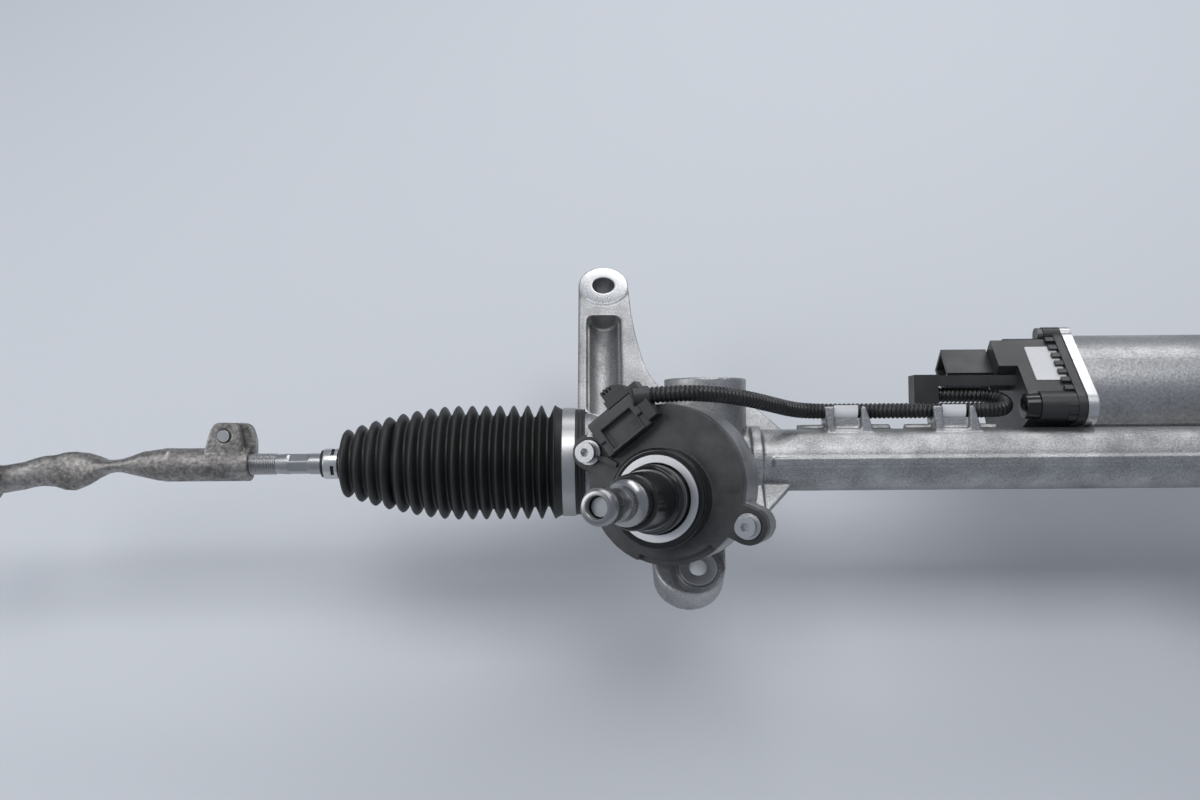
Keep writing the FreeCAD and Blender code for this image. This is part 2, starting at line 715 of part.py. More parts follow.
def cover_outline(inset, height):
    """The cover's round plate with its two screw lugs."""
    centre = V(0, TOWER_OFFSET, 0)
    plate = post(TOWER_RADIUS - inset, 0, height, 0, TOWER_OFFSET)
    for screw in COVER_SCREWS:
        plate = plate.fuse(bar(centre, SCREW_LUG_RADIUS * 2.2, screw, SCREW_LUG_RADIUS - inset, height))
    return plate


def on_socket(shape):
    """Moves a shape drawn about the plug socket to its place on the cover."""
    turn = Rotation(UP, SOCKET_TURN)
    foot = SOCKET_CENTRE + V(0, 0, TOWER_TOP + COVER_THICKNESS)
    shape.Placement = Placement(foot, turn).multiply(shape.Placement)
    return shape


def socket_body():
    """The block of the cover that holds the plug's contacts."""
    return on_socket(block(SOCKET_LENGTH, SOCKET_WIDTH, SOCKET_HEIGHT + COVER_WALL, V(0, 0, -COVER_WALL)))


def sensor_cover():
    """The moulded cover over the torque sensor, with its collar and plug socket."""
    plate = cover_outline(0, COVER_THICKNESS)
    plate.translate(V(0, 0, TOWER_TOP))
    collar = post(COLLAR_RADIUS, TOWER_TOP, TOWER_TOP + COLLAR_HEIGHT)
    cover = plate.fuse([collar, socket_body()])
    window_foot = V(1, -1, SOCKET_HEIGHT - WINDOW_DEPTH)
    cuts = [
        on_socket(block(WINDOW_LENGTH, WINDOW_WIDTH, WINDOW_DEPTH, window_foot)),
        post(COLLAR_RADIUS - COVER_WALL - 3, TOWER_TOP, TOWER_TOP + COLLAR_HEIGHT),
        post(SEAL_RING_OUTER, TOWER_TOP + COLLAR_HEIGHT - SEAL_RING_STAND, TOWER_TOP + COLLAR_HEIGHT),
        post(TOWER_RADIUS - 8, TOWER_TOP, TOWER_TOP + COVER_THICKNESS - COVER_WALL, 0, TOWER_OFFSET),
    ]
    for screw in COVER_SCREWS:
        cuts.append(post(COVER_SLEEVE_RADIUS, TOWER_TOP, TOWER_TOP + COVER_THICKNESS, screw.x, screw.y))
    return on_tower(cover.cut(cuts))


def sensor_ring():
    """The bright seat ring in the cover's collar."""
    foot = TOWER_TOP + COLLAR_HEIGHT - SEAL_RING_STAND
    seat = post(SEAL_RING_OUTER, foot, foot + SEAL_RING_HEIGHT)
    return on_tower(seat.cut(post(SEAL_RING_INNER, foot, foot + SEAL_RING_HEIGHT)))


def cover_screws():
    """Two socket head screws in their sleeves."""
    screws = []
    for place in COVER_SCREWS:
        seat = TOWER_TOP + COVER_THICKNESS + 1.5
        screw = post(COVER_SCREW_RADIUS, TOWER_TOP - SCREW_LUG_DEPTH + 3, TOWER_TOP, place.x, place.y)
        sleeve = post(COVER_SLEEVE_RADIUS, TOWER_TOP, seat, place.x, place.y)
        head = post(COVER_HEAD_RADIUS, seat, seat + COVER_HEAD_HEIGHT, place.x, place.y)
        key = hexagon(COVER_KEY, COVER_KEY)
        key.translate(V(place.x, place.y, seat + COVER_HEAD_HEIGHT - COVER_KEY))
        screws.append(on_tower(screw.fuse([sleeve, head]).cut(key)))
    return Part.makeCompound(screws)


def sensor_plug():
    """The cable plug at the end of the cover's socket, with its outlet towards the conduit."""
    nose = block(PLUG_NOSE, SOCKET_WIDTH - 4, SOCKET_HEIGHT + 1, V((SOCKET_LENGTH + PLUG_NOSE) / 2, 0, 0))
    back = block(SOCKET_LENGTH / 2, PLUG_DEPTH, SOCKET_HEIGHT, V(SOCKET_LENGTH / 4, (SOCKET_WIDTH + PLUG_DEPTH) / 2, 0))
    joint = block(PLUG_NOSE, PLUG_DEPTH + 2, SOCKET_HEIGHT, V((SOCKET_LENGTH + PLUG_NOSE) / 2, SOCKET_WIDTH / 2, 0))
    body = on_tower(on_socket(nose.fuse([back, joint])))
    outlet, heading = conduit_start()
    spout = Part.makeCylinder(CONDUIT_DIAMETER / 2 + 0.8, PLUG_SPOUT, outlet - heading * PLUG_SPOUT, heading)
    room = Part.makeCylinder(CONDUIT_DIAMETER / 2 + RUNNING_GAP, PLUG_SPOUT, outlet, heading)
    return body.fuse(spout).cut([room, on_tower(socket_body())])


def plug_latch():
    """The ribbed lever that locks the plug."""
    foot = V(SOCKET_LENGTH / 2 - LATCH_LENGTH / 2 - 1, SOCKET_WIDTH / 2 + PLUG_DEPTH + LATCH_WIDTH / 2, 1)
    lever = block(LATCH_LENGTH, LATCH_WIDTH, LATCH_HEIGHT, foot)
    notches = [block(1.6, LATCH_WIDTH, 2, foot + V(3 * step - 9, 0, LATCH_HEIGHT - 2)) for step in range(4)]
    return on_tower(on_socket(lever.cut(notches)))


# Rack, support yoke and bush


def rack_bar():
    """The rack: teeth facing the pinion and tapped ends for the inner sockets."""
    start = STOP_FACE_X - RACK_TRAVEL - STOP_GAP
    end = 2 * RACK_MIDDLE_X - start
    rack = drum(RACK_DIAMETER / 2, start, end)
    cuts = [
        drum(STUB_RADIUS, start, start + STUB_LENGTH),
        drum(STUB_RADIUS, end - STUB_LENGTH, end),
    ]
    pitch_line = PITCH_RADIUS + PROFILE_SHIFT * MODULE
    tip_line = pitch_line - MODULE
    root_line = pitch_line + MODULE * ADDENDUM + ROOT_CLEARANCE
    slope = math.tan(math.radians(PRESSURE_ANGLE))
    reach = RACK_DIAMETER / 2 / math.cos(math.radians(SHAFT_SIDE)) + 1
    spacing = math.pi * MODULE
    count = math.floor((RACK_TRAVEL + TOOTH_MARGIN) * math.cos(math.radians(SHAFT_SIDE)) / spacing)
    half_gap = spacing / 4

    def half_width(line):
        return half_gap - (line - pitch_line) * slope

    mouth = pitch_line - MODULE - RACK_DIAMETER / 2
    for step in range(-count, count + 1):
        centre = step * spacing
        outline = [
            V(centre - half_width(root_line), root_line, 0),
            V(centre + half_width(root_line), root_line, 0),
            V(centre + half_width(tip_line), tip_line, 0),
            V(centre + half_width(tip_line), mouth, 0),
            V(centre - half_width(tip_line), mouth, 0),
            V(centre - half_width(tip_line), tip_line, 0),
        ]
        gap = Part.Face(Part.makePolygon(outline + [outline[0]]))
        middle = -centre * math.tan(math.radians(SHAFT_SIDE))
        gap.translate(V(0, 0, middle - reach))
        cuts.append(on_tower(gap.extrude(V(0, 0, 2 * reach))))
    flat_length = 2 * (count + 0.75) * spacing / math.cos(math.radians(SHAFT_SIDE))
    flat = block(flat_length, RACK_DIAMETER, RACK_DIAMETER, V(0, 0, PITCH_PLANE_HEIGHT + MODULE))
    flat.Placement = Placement(V(0, 0, 0), Rotation(ALONG, SHAFT_ROLL + 90)).multiply(flat.Placement)
    return rack.cut([flat]).cut(cuts)


def rack_bush():
    """The plain bush that carries the rack's left end."""
    return ring(TUBE_BORE / 2, RACK_DIAMETER / 2 + RUNNING_GAP, STOP_FACE_X + 8, STOP_FACE_X + 8 + BUSH_LENGTH)


def support_yoke():
    """The sprung slipper that holds the rack against the pinion."""
    yoke = on_yoke(post(YOKE_RADIUS, YOKE_FOOT, YOKE_FOOT + YOKE_LENGTH))
    rack = drum(RACK_DIAMETER / 2 + RUNNING_GAP, YOKE_X - 2 * YOKE_RADIUS, YOKE_X + 2 * YOKE_RADIUS)
    pocket = on_yoke(post(YOKE_RADIUS - 7, YOKE_FOOT + YOKE_LENGTH - 4, YOKE_FOOT + YOKE_LENGTH))
    return yoke.cut([rack, pocket])


def yoke_spring():
    """The dished spring between the yoke and its plug."""
    foot = YOKE_FOOT + YOKE_LENGTH
    outline = [
        (foot, 12.0),
        (foot + YOKE_SPRING_GAP - 1.2, 7.0),
        (foot + YOKE_SPRING_GAP, 7.0),
        (foot + 1.2, 13.0),
        (foot, 13.0),
    ]
    return on_yoke(turned(outline, axis=UP))


def yoke_plug():
    """The threaded adjuster that loads the yoke's spring."""
    foot = YOKE_FOOT + YOKE_LENGTH + YOKE_SPRING_GAP
    plug = post(YOKE_RADIUS, foot, foot + YOKE_PLUG_THICKNESS)
    key = hexagon(YOKE_HEX, YOKE_PLUG_THICKNESS - 3)
    key.translate(V(0, 0, foot + 3))
    return on_yoke(plug.cut(key))


def lug_sleeve():
    """The steel sleeve pressed into the lower lug."""
    foot = LUG_TOP_Z - LUG_HEIGHT
    sleeve = post(SLEEVE_RADIUS, foot, LUG_TOP_Z + SLEEVE_STAND, LUG_X, LUG_Y)
    return sleeve.cut(post(SLEEVE_BORE_RADIUS, foot, LUG_TOP_Z + SLEEVE_STAND, LUG_X, LUG_Y))


# Servo drive


def servo_case(grow, start, end):
    """The outline round the ball nut and the motor shaft, as a solid along X."""
    reach = NUT_PULLEY_RADIUS + BELT_THICKNESS + BELT_ROOM
    outline = tangent_face(V(0, 0, 0), reach + grow, V(MOTOR_Y, MOTOR_Z, 0), MOTOR_RADIUS - SERVO_WALL + grow)
    return upright(outline.extrude(V(0, 0, end - start)), start)


def servo_screw_places():
    """Where the cover's screws sit round the two centres."""
    heading = math.atan2(MOTOR_Z, MOTOR_Y)
    nut_reach = NUT_PULLEY_RADIUS + BELT_THICKNESS + BELT_ROOM + SERVO_WALL + 2
    motor_reach = MOTOR_RADIUS + 2
    places = []
    for turn in (105, 180, 255):
        angle = heading + math.radians(turn)
        places.append(V(0, math.cos(angle), math.sin(angle)) * nut_reach)
    for turn in (-70, 0, 70):
        angle = heading + math.radians(turn)
        places.append(MOTOR_CENTRE + V(0, math.cos(angle), math.sin(angle)) * motor_reach)
    return places


def servo_housing():
    """The case of the belt drive, open towards its cover."""
    case = servo_case(SERVO_WALL, SERVO_X, SERVO_END_X)
    bosses = [drum(SCREW_BOSS_RADIUS, SERVO_X + 10, SERVO_END_X, place) for place in servo_screw_places()]
    cuts = [
        servo_case(0, NUT_BEARING_END_X, SERVO_END_X),
        drum(NUT_BEARING_RADIUS, SERVO_X + SERVO_WALL, SERVO_END_X),
        drum(TUBE_BORE / 2, SERVO_X, SERVO_END_X),
        drum(SPIGOT_RADIUS, SERVO_X, SERVO_END_X, MOTOR_CENTRE),
    ]
    for place in servo_screw_places():
        cuts.append(drum(SCREW_SIZE / 2, SERVO_END_X - SCREW_DEPTH, SERVO_END_X, place))
    return case.fuse(bosses).cut(cuts)


def servo_cover():
    """The plate that closes the belt case, with the right-hand bellows seat."""
    plate = servo_case(SERVO_WALL, SERVO_END_X, SERVO_END_X + COVER_FLANGE)
    bosses = [drum(SCREW_BOSS_RADIUS, SERVO_END_X, SERVO_END_X + COVER_FLANGE, p) for p in servo_screw_places()]
    seat = drum(SEAT_RADIUS, SERVO_END_X, RIGHT_STOP_X)
    cuts = [drum(TUBE_BORE / 2, SERVO_END_X, RIGHT_STOP_X)]
    for place in servo_screw_places():
        cuts.append(drum(SCREW_SIZE / 2, SERVO_END_X, RIGHT_STOP_X, place))
    return plate.fuse(bosses + [seat]).cut(cuts)


def servo_screws():
    """The cover's hexagon screws."""
    screws = []
    seat = SERVO_END_X + COVER_FLANGE
    for place in servo_screw_places():
        shank = drum(SCREW_SIZE / 2, SERVO_END_X - SCREW_DEPTH, seat, place)
        head = facing(hexagon(10, SCREW_HEAD_HEIGHT), V(seat, place.y, place.z), ALONG)
        screws.append(shank.fuse(head))
    return Part.makeCompound(screws)


def ball_nut():
    """The nut that drives the rack's screw, with its ball return cap."""
    nut = ring(NUT_RADIUS, RACK_DIAMETER / 2 + FREE_GAP, SERVO_X + SERVO_WALL, SERVO_X + SERVO_WALL + NUT_LENGTH)
    return nut.cut(ring(NUT_RADIUS + 1, NUT_RADIUS - 1.5, NUT_PULLEY_X - 3, NUT_PULLEY_X))


def nut_pulley():
    pulley = ring(NUT_PULLEY_RADIUS, NUT_RADIUS, NUT_PULLEY_X, NUT_PULLEY_X + BELT_WIDTH)
    return pulley.cut(ring(NUT_PULLEY_RADIUS - 4, NUT_RADIUS + 4, NUT_PULLEY_X + 5, NUT_PULLEY_X + BELT_WIDTH))


def nut_bearing():
    """The large ball bearing that holds the nut."""
    start = SERVO_X + SERVO_WALL
    return ring(NUT_BEARING_RADIUS, NUT_RADIUS + RUNNING_GAP, start, start + NUT_BEARING_WIDTH)


def bearing_lock_ring():
    """The ring that clamps the nut's bearing."""
    start = SERVO_X + SERVO_WALL + NUT_BEARING_WIDTH
    return ring(NUT_BEARING_RADIUS, NUT_RADIUS + 3, start, start + LOCK_RING_WIDTH)


def drive_belt():
    """The toothed belt, as one loop round both pulleys."""
    slack = 0.3
    small = NUT_PULLEY_RADIUS / BELT_RATIO
    centres = (V(0, 0, 0), V(MOTOR_Y, MOTOR_Z, 0))
    outer = bar(centres[0], NUT_PULLEY_RADIUS + BELT_THICKNESS, centres[1], small + BELT_THICKNESS, BELT_WIDTH - 2)
    inner = bar(centres[0], NUT_PULLEY_RADIUS + slack, centres[1], small + slack, BELT_WIDTH - 2)
    return upright(outer.cut(inner), NUT_PULLEY_X + 1)


def motor_pulley():
    small = NUT_PULLEY_RADIUS / BELT_RATIO
    return ring(small, ROTOR_SHAFT_RADIUS, NUT_PULLEY_X, NUT_PULLEY_X + BELT_WIDTH, MOTOR_CENTRE)


def motor_housing():
    """The motor's cast can with its cooling rail."""
    start = FLANGE_X + FLANGE_THICKNESS
    can = ring(MOTOR_RADIUS, MOTOR_RADIUS - MOTOR_WALL, start, SERVO_X, MOTOR_CENTRE)
    end_plate = ring(MOTOR_RADIUS, MOTOR_BEARING_RADIUS, SERVO_X - MOTOR_END, SERVO_X, MOTOR_CENTRE)
    back = ring(MOTOR_BEARING_RADIUS, MOTOR_BEARING_RADIUS - 4, SERVO_X - 2, SERVO_X, MOTOR_CENTRE)
    spigot = ring(SPIGOT_RADIUS, SPIGOT_RADIUS - 4, SERVO_X, SERVO_X + SERVO_WALL, MOTOR_CENTRE)
    rail = block(SERVO_X - start - 2, RAIL_WIDTH, RAIL_STAND + 1, V((start + SERVO_X) / 2, 0, MOTOR_RADIUS - 1))
    rail.Placement = Placement(MOTOR_CENTRE, Rotation(ALONG, 68)).multiply(rail.Placement)
    return can.fuse([end_plate, back, spigot, rail])


def motor_bearings():
    """The two ball bearings of the motor shaft."""
    start = SERVO_X - MOTOR_END
    right = ring(MOTOR_BEARING_RADIUS, ROTOR_SHAFT_RADIUS + RUNNING_GAP, start, SERVO_X - 2, MOTOR_CENTRE)
    left_start = FLANGE_X + 1
    left = ring(
        MOTOR_BEARING_RADIUS, ROTOR_SHAFT_RADIUS + RUNNING_GAP, left_start, FLANGE_X + FLANGE_THICKNESS, MOTOR_CENTRE
    )
    return Part.makeCompound([left, right])


def stator():
    """The wound core, with a slot between each pair of teeth."""
    middle = (FLANGE_X + SERVO_X) / 2
    start = middle - STATOR_LENGTH / 2
    outer = MOTOR_RADIUS - MOTOR_WALL
    core = ring(outer, STATOR_BORE, start, start + STATOR_LENGTH, MOTOR_CENTRE)
    slots = []
    for step in range(STATOR_SLOTS):
        slot = block(STATOR_LENGTH, 6, outer - STATOR_BORE - 3, V(middle, 0, STATOR_BORE - 2))
        turn = Rotation(ALONG, 360 * step / STATOR_SLOTS)
        slot.Placement = Placement(MOTOR_CENTRE, turn).multiply(slot.Placement)
        slots.append(slot)
    return core.cut(slots)


def rotor_shaft():
    """The motor shaft and its core."""
    middle = (FLANGE_X + SERVO_X) / 2
    shaft = drum(ROTOR_SHAFT_RADIUS, FLANGE_X + 1, NUT_PULLEY_X + BELT_WIDTH, MOTOR_CENTRE)
    core = drum(ROTOR_RADIUS - MAGNET_THICKNESS, middle - STATOR_LENGTH / 2, middle + STATOR_LENGTH / 2, MOTOR_CENTRE)
    return shaft.fuse(core)


def rotor_magnets():
    """The arc magnets round the rotor's core."""
    middle = (FLANGE_X + SERVO_X) / 2
    start = middle - STATOR_LENGTH / 2
    shell = ring(ROTOR_RADIUS, ROTOR_RADIUS - MAGNET_THICKNESS, start, start + STATOR_LENGTH, MOTOR_CENTRE)
    gaps = []
    for step in range(MAGNET_POLES // 2):
        gap = block(STATOR_LENGTH, 2, 3 * ROTOR_RADIUS, V(middle, 0, -1.5 * ROTOR_RADIUS))
        turn = Rotation(ALONG, 360 * step / MAGNET_POLES)
        gap.Placement = Placement(MOTOR_CENTRE, turn).multiply(gap.Placement)
        gaps.append(gap)
    return shell.cut(gaps)


# Control unit


def unit_block(inset, length):
    """The control unit's outline about the motor axis, round below and flat on top, as a solid."""
    corner = UNIT_CORNER - inset
    height = UNIT_TOP_HEIGHT - UNIT_CORNER
    centre = V(0, 0, 0)
    near = V(-UNIT_NEAR, height, 0)
    far = V(UNIT_FAR - UNIT_CORNER, height, 0)
    solid = bar(near, corner, far, corner, length)
    for spot in (near, far):
        solid = solid.fuse(bar(centre, MOTOR_RADIUS - inset, spot, corner, length))
    return solid


def on_unit(shape, x):
    """Moves a shape drawn in XY about the motor axis to the control unit, extruded along X."""
    turn = Rotation(ALONG, -UNIT_TOP_LEAN).multiply(ACROSS)
    shape.Placement = Placement(V(x, MOTOR_Y, MOTOR_Z), turn).multiply(shape.Placement)
    return shape


def tube_room(start, end):
    """The space that the servo's pieces leave round the rack tube."""
    return drum(TUBE_DIAMETER / 2 + UNIT_CLEARANCE, start, end)


def motor_flange():
    """The aluminium plate between the control unit and the motor."""
    end = FLANGE_X + FLANGE_THICKNESS
    plate = on_unit(unit_block(0, FLANGE_THICKNESS), FLANGE_X)
    cuts = [drum(MOTOR_BEARING_RADIUS, FLANGE_X + 1, end, MOTOR_CENTRE), tube_room(FLANGE_X, end)]
    for place in unit_screw_places():
        plate = plate.fuse(drum(UNIT_SCREW_BOSS, FLANGE_X, end, place))
        cuts.append(drum(SCREW_SIZE / 2, FLANGE_X, FLANGE_X + FLANGE_SCREW_DEPTH, place))
    return plate.cut(cuts)


def unit_housing():
    """The black case of the control unit, with its capacitor barrel and sockets."""
    body = on_unit(unit_block(UNIT_INSET, UNIT_LENGTH), FLANGE_X - UNIT_LENGTH)
    lip = on_unit(unit_block(LIP_INSET, LIP_LENGTH), FLANGE_X - LIP_LENGTH)
    height = UNIT_TOP_HEIGHT - UNIT_INSET
    step = V(UNIT_FAR - UNIT_CORNER - SHOULDER_WIDTH / 2, height - SHOULDER_HEIGHT, 0)
    shoulder = block(SHOULDER_WIDTH, SHOULDER_HEIGHT, SHOULDER_LENGTH + 5, step + V(0, SHOULDER_HEIGHT / 2, 0))
    shoulder = on_unit(shoulder, FLANGE_X - UNIT_LENGTH - SHOULDER_LENGTH)
    barrel = drum(CAPACITOR_RADIUS, FLANGE_X - CAPACITOR_LENGTH, FLANGE_X, CAPACITOR_CENTRE)
    link_length = FLANGE_X - UNIT_LENGTH + 6 - PLUG_END_X
    link = block(link_length, LINK_DEPTH, LINK_HEIGHT, V(PLUG_END_X + link_length / 2, LINK_BEHIND, LINK_RISE))
    case = body.fuse([lip, shoulder, barrel, on_bracket(link, 0)])
    for place in unit_screw_places():
        case = case.fuse(drum(UNIT_SCREW_BOSS, FLANGE_X - UNIT_SCREW_LENGTH, FLANGE_X, place))
    room = on_unit(unit_block(UNIT_INSET + UNIT_WALL, UNIT_LENGTH - UNIT_WALL), 0)
    room.translate(V(FLANGE_X - UNIT_LENGTH + UNIT_WALL, 0, 0))
    cuts = [room, tube_room(FLANGE_X - UNIT_LENGTH, FLANGE_X)]
    head = FLANGE_X - UNIT_SCREW_LENGTH
    for place in unit_screw_places():
        cuts.append(drum(SCREW_SIZE / 2, head, FLANGE_X, place))
        cuts.append(drum(SCREW_SIZE - 0.5, FLANGE_X - UNIT_LENGTH, head, place))
    return case.cut(cuts)


def unit_screw_places():
    """The three screws that hold the control unit to the flange."""
    spots = [V(0, UNIT_FAR - UNIT_SCREW_BOSS, UNIT_TOP_HEIGHT - UNIT_SCREW_BOSS)]
    for turn in (-20, -110):
        spots.append(V(0, math.cos(math.radians(turn)), math.sin(math.radians(turn))) * (MOTOR_RADIUS + 2))
    lean = Rotation(ALONG, -UNIT_TOP_LEAN)
    return [MOTOR_CENTRE + lean.multVec(spot) for spot in spots]


def unit_screws():
    screws = []
    for place in unit_screw_places():
        start = FLANGE_X - UNIT_SCREW_LENGTH
        shank = drum(SCREW_SIZE / 2, start, FLANGE_X + FLANGE_SCREW_DEPTH, place)
        head = drum(SCREW_SIZE - 1, start - SCREW_HEAD_HEIGHT, start, place)
        screws.append(shank.fuse(head))
    return Part.makeCompound(screws)


def circuit_board():
    """The board inside the control unit."""
    board = unit_block(UNIT_INSET + UNIT_WALL + 2, BOARD_THICKNESS)
    board = on_unit(board, FLANGE_X - UNIT_LENGTH + UNIT_WALL + 4)
    pillar_end = FLANGE_X - UNIT_LENGTH + UNIT_WALL + 4
    pillars = []
    for turn in (30, 150, 270):
        angle = math.radians(turn)
        place = MOTOR_CENTRE + V(0, math.cos(angle), math.sin(angle)) * (MOTOR_RADIUS / 2)
        pillars.append(drum(3, FLANGE_X - UNIT_LENGTH + UNIT_WALL, pillar_end, place))
    return board.fuse(pillars)


def power_connector():
    """The open connector that takes the battery plug."""
    shell = block(POWER_WIDTH, POWER_HEIGHT, POWER_LENGTH)
    room = block(POWER_WIDTH - 5, POWER_HEIGHT - 5, POWER_LENGTH - 6)
    blades = [block(1.5, 8, POWER_LENGTH - 12, V(x, 0, 6)) for x in (-5, 5)]
    centre = V(POWER_ACROSS, POWER_RISE, 0)
    connector = shell.cut(room).fuse(blades)
    connector.translate(centre)
    return on_unit(connector, FLANGE_X - UNIT_LENGTH - SHOULDER_LENGTH - POWER_LENGTH)


# Sensor cable


def lean_point(x, rise, front):
    """A point by its height up the cable brackets' lean and its offset to the front."""
    turn = Rotation(ALONG, BRACKET_LEAN - 90)
    return V(x, 0, 0) + turn.multVec(V(0, -front, rise))


CONDUIT_ROUTE = [
    lean_point(-36.3, 41.1, 67.3),
    lean_point(-17.2, 42.7, 64.9),
    lean_point(4.0, 42.4, 56.5),
    lean_point(26.0, 40.3, 42.0),
    lean_point(47.0, 36.5, 24.0),
    lean_point(64.0, 33.4, 7.5),
    lean_point(82.0, CONDUIT_HEIGHT, 0.0),
    lean_point(192.0, CONDUIT_HEIGHT, 0.0),
    lean_point(208.0, 33.2, -4.0),
    lean_point(213.5, 38.0, -13.5),
    lean_point(206.5, 43.4, -22.5),
    lean_point(190.0, 44.2, -24.0),
    lean_point(PLUG_END_X, 44.2, -24.0),
]


def conduit_start():
    """The conduit's first point and its heading there."""
    heading = CONDUIT_ROUTE[1] - CONDUIT_ROUTE[0]
    return CONDUIT_ROUTE[0], heading.normalize()


def rounded_path(points):
    """Straight runs joined by tangent arcs, each as large as its two runs allow."""
    edges = []
    last = points[0]
    for before, corner, after in zip(points, points[1:], points[2:]):
        back = before - corner
        ahead = after - corner
        shorter = min(back.Length, ahead.Length)
        turn = math.pi - back.getAngle(ahead)
        cut = 0.45 * shorter
        radius = cut / math.tan(turn / 2)
        back.normalize()
        ahead.normalize()
        enter = corner + back * cut
        leave = corner + ahead * cut
        inward = (back + ahead).normalize()
        centre = corner + inward * (radius / math.cos(turn / 2))
        edges.append(Part.makeLine(last, enter))
        edges.append(Part.Arc(enter, centre - inward * radius, leave).toShape())
        print("bend radius", round(radius, 1))
        last = leave
    edges.append(Part.makeLine(last, points[-1]))
    return Part.Wire(edges)


def sensor_conduit():
    """The corrugated conduit from the torque sensor to the control unit, as a plain tube."""
    path = rounded_path(CONDUIT_ROUTE)
    start, heading = conduit_start()
    circle = Part.Wire(Part.makeCircle(CONDUIT_DIAMETER / 2, start, heading))
    tube = path.makePipeShell([circle], True, False)
    section = math.pi * CONDUIT_DIAMETER**2 / 4
    print("conduit length", round(path.Length, 1), "volume over section times length", tube.Volume / section / path.Length)
    return tube


def cable_clips():
    """The snap clips that line the two brackets."""
    clips = []
    channel = CONDUIT_DIAMETER / 2 + CLIP_WALL
    for x in BRACKET_X:
        height = BRACKET_HEIGHT - CONDUIT_HEIGHT
        clip = Part.makeCylinder(channel, CLIP_LENGTH, V(-CLIP_LENGTH / 2, 0, CONDUIT_HEIGHT), ALONG)
        clip = clip.fuse(block(CLIP_LENGTH, 2 * channel, height + 1, V(0, 0, CONDUIT_HEIGHT)))
        bore = Part.makeCylinder(
            CONDUIT_DIAMETER / 2 + RUNNING_GAP, CLIP_LENGTH, V(-CLIP_LENGTH / 2, 0, CONDUIT_HEIGHT), ALONG
        )
        mouth = block(CLIP_LENGTH, CONDUIT_DIAMETER + 2 * RUNNING_GAP, BRACKET_HEIGHT, V(0, 0, CONDUIT_HEIGHT))
        clip = clip.cut([bore, mouth, block(CLIP_LENGTH, 4 * channel, 20, V(0, 0, CONDUIT_HEIGHT + channel))])
        clips.append(on_bracket(clip, x))
    return Part.makeCompound(clips)


def cable_plug():
    """The plug that turns the sensor cable into the control unit."""
    foot = V(PLUG_END_X - CABLE_PLUG_LENGTH / 2, PLUG_BEHIND, CABLE_PLUG_FOOT)
    return on_bracket(block(CABLE_PLUG_LENGTH, CABLE_PLUG_DEPTH, CABLE_PLUG_HEIGHT, foot), 0)


# Ends: bellows, tie rods and ball joints, drawn for the left end


def crest_radius(crest):
    """The convolutions grow from the small end over their first few crests."""
    growing = 7
    if crest >= growing:
        return BELLOWS_RADIUS
    return BELLOWS_RADIUS - (BELLOWS_RADIUS - BELLOWS_SMALL_RADIUS) * (1 - crest / growing) ** 2


def bellows():
    """The convoluted boot from the housing's seat to the tie rod."""
    start = BELLOWS_END_X
    end = STOP_FACE_X
    pitch = (end - start) / BELLOWS_CRESTS
    outer = [(start - SMALL_CUFF_LENGTH, SMALL_CUFF_RADIUS), (start, SMALL_CUFF_RADIUS)]
    for crest in range(BELLOWS_CRESTS):
        outer.append((start + pitch * (crest + 0.5), crest_radius(crest)))
        outer.append((start + pitch * (crest + 1), crest_radius(crest) - BELLOWS_DEPTH))
    outer[-1] = (end, SEAT_RADIUS + CUFF_WALL)
    outer.append((end + BELLOWS_CUFF, SEAT_RADIUS + CUFF_WALL))
    inner = [(x, radius - BELLOWS_WALL) for x, radius in outer[2:-2]]
    inner = [(start - SMALL_CUFF_LENGTH, ROD_RADIUS + RUNNING_GAP), (start, ROD_RADIUS + RUNNING_GAP)] + inner
    inner += [(end, SEAT_RADIUS + RUNNING_GAP), (end + BELLOWS_CUFF, SEAT_RADIUS + RUNNING_GAP)]
    return turned(outer + inner[::-1])


def big_clamp():
    """The steel band round the bellows' large end."""
    inner = SEAT_RADIUS + CUFF_WALL + RUNNING_GAP
    return ring(inner + BIG_CLAMP_WALL, inner, STOP_FACE_X + 0.5, STOP_FACE_X + 0.5 + BIG_CLAMP_WIDTH)


def big_clamps():
    return both_ends(big_clamp())


def small_clamp():
    """The steel ring on the bellows' small end."""
    inner = SMALL_CUFF_RADIUS + RUNNING_GAP
    start = BELLOWS_END_X - 1 - SMALL_CLAMP_WIDTH
    return ring(inner + SMALL_CLAMP_WALL, inner, start, start + SMALL_CLAMP_WIDTH)


def tie_rod():
    """The inner tie rod: ball, shank, hexagon and thread."""
    hex_end = HEX_X - HEX_LENGTH
    smooth_end = hex_end - SMOOTH_LENGTH
    outline = [
        (smooth_end - THREAD_LENGTH, 0),
        (smooth_end - THREAD_LENGTH, ROD_RADIUS),
        (smooth_end, ROD_RADIUS),
        (smooth_end, NECK_RADIUS),
        (hex_end, NECK_RADIUS),
        (HEX_X, NECK_RADIUS),
        (HEX_X, ROD_RADIUS),
        (INNER_BALL_X - 24, ROD_RADIUS),
        (INNER_BALL_X - 21, NECK_RADIUS),
        (INNER_BALL_X, NECK_RADIUS),
        (INNER_BALL_X, 0),
    ]
    ball = Part.makeSphere(INNER_BALL_RADIUS, V(INNER_BALL_X, 0, 0))
    nut = facing(hexagon(HEX_SIZE, HEX_LENGTH), V(hex_end, 0, 0), ALONG)
    return turned(outline).fuse([ball, nut])


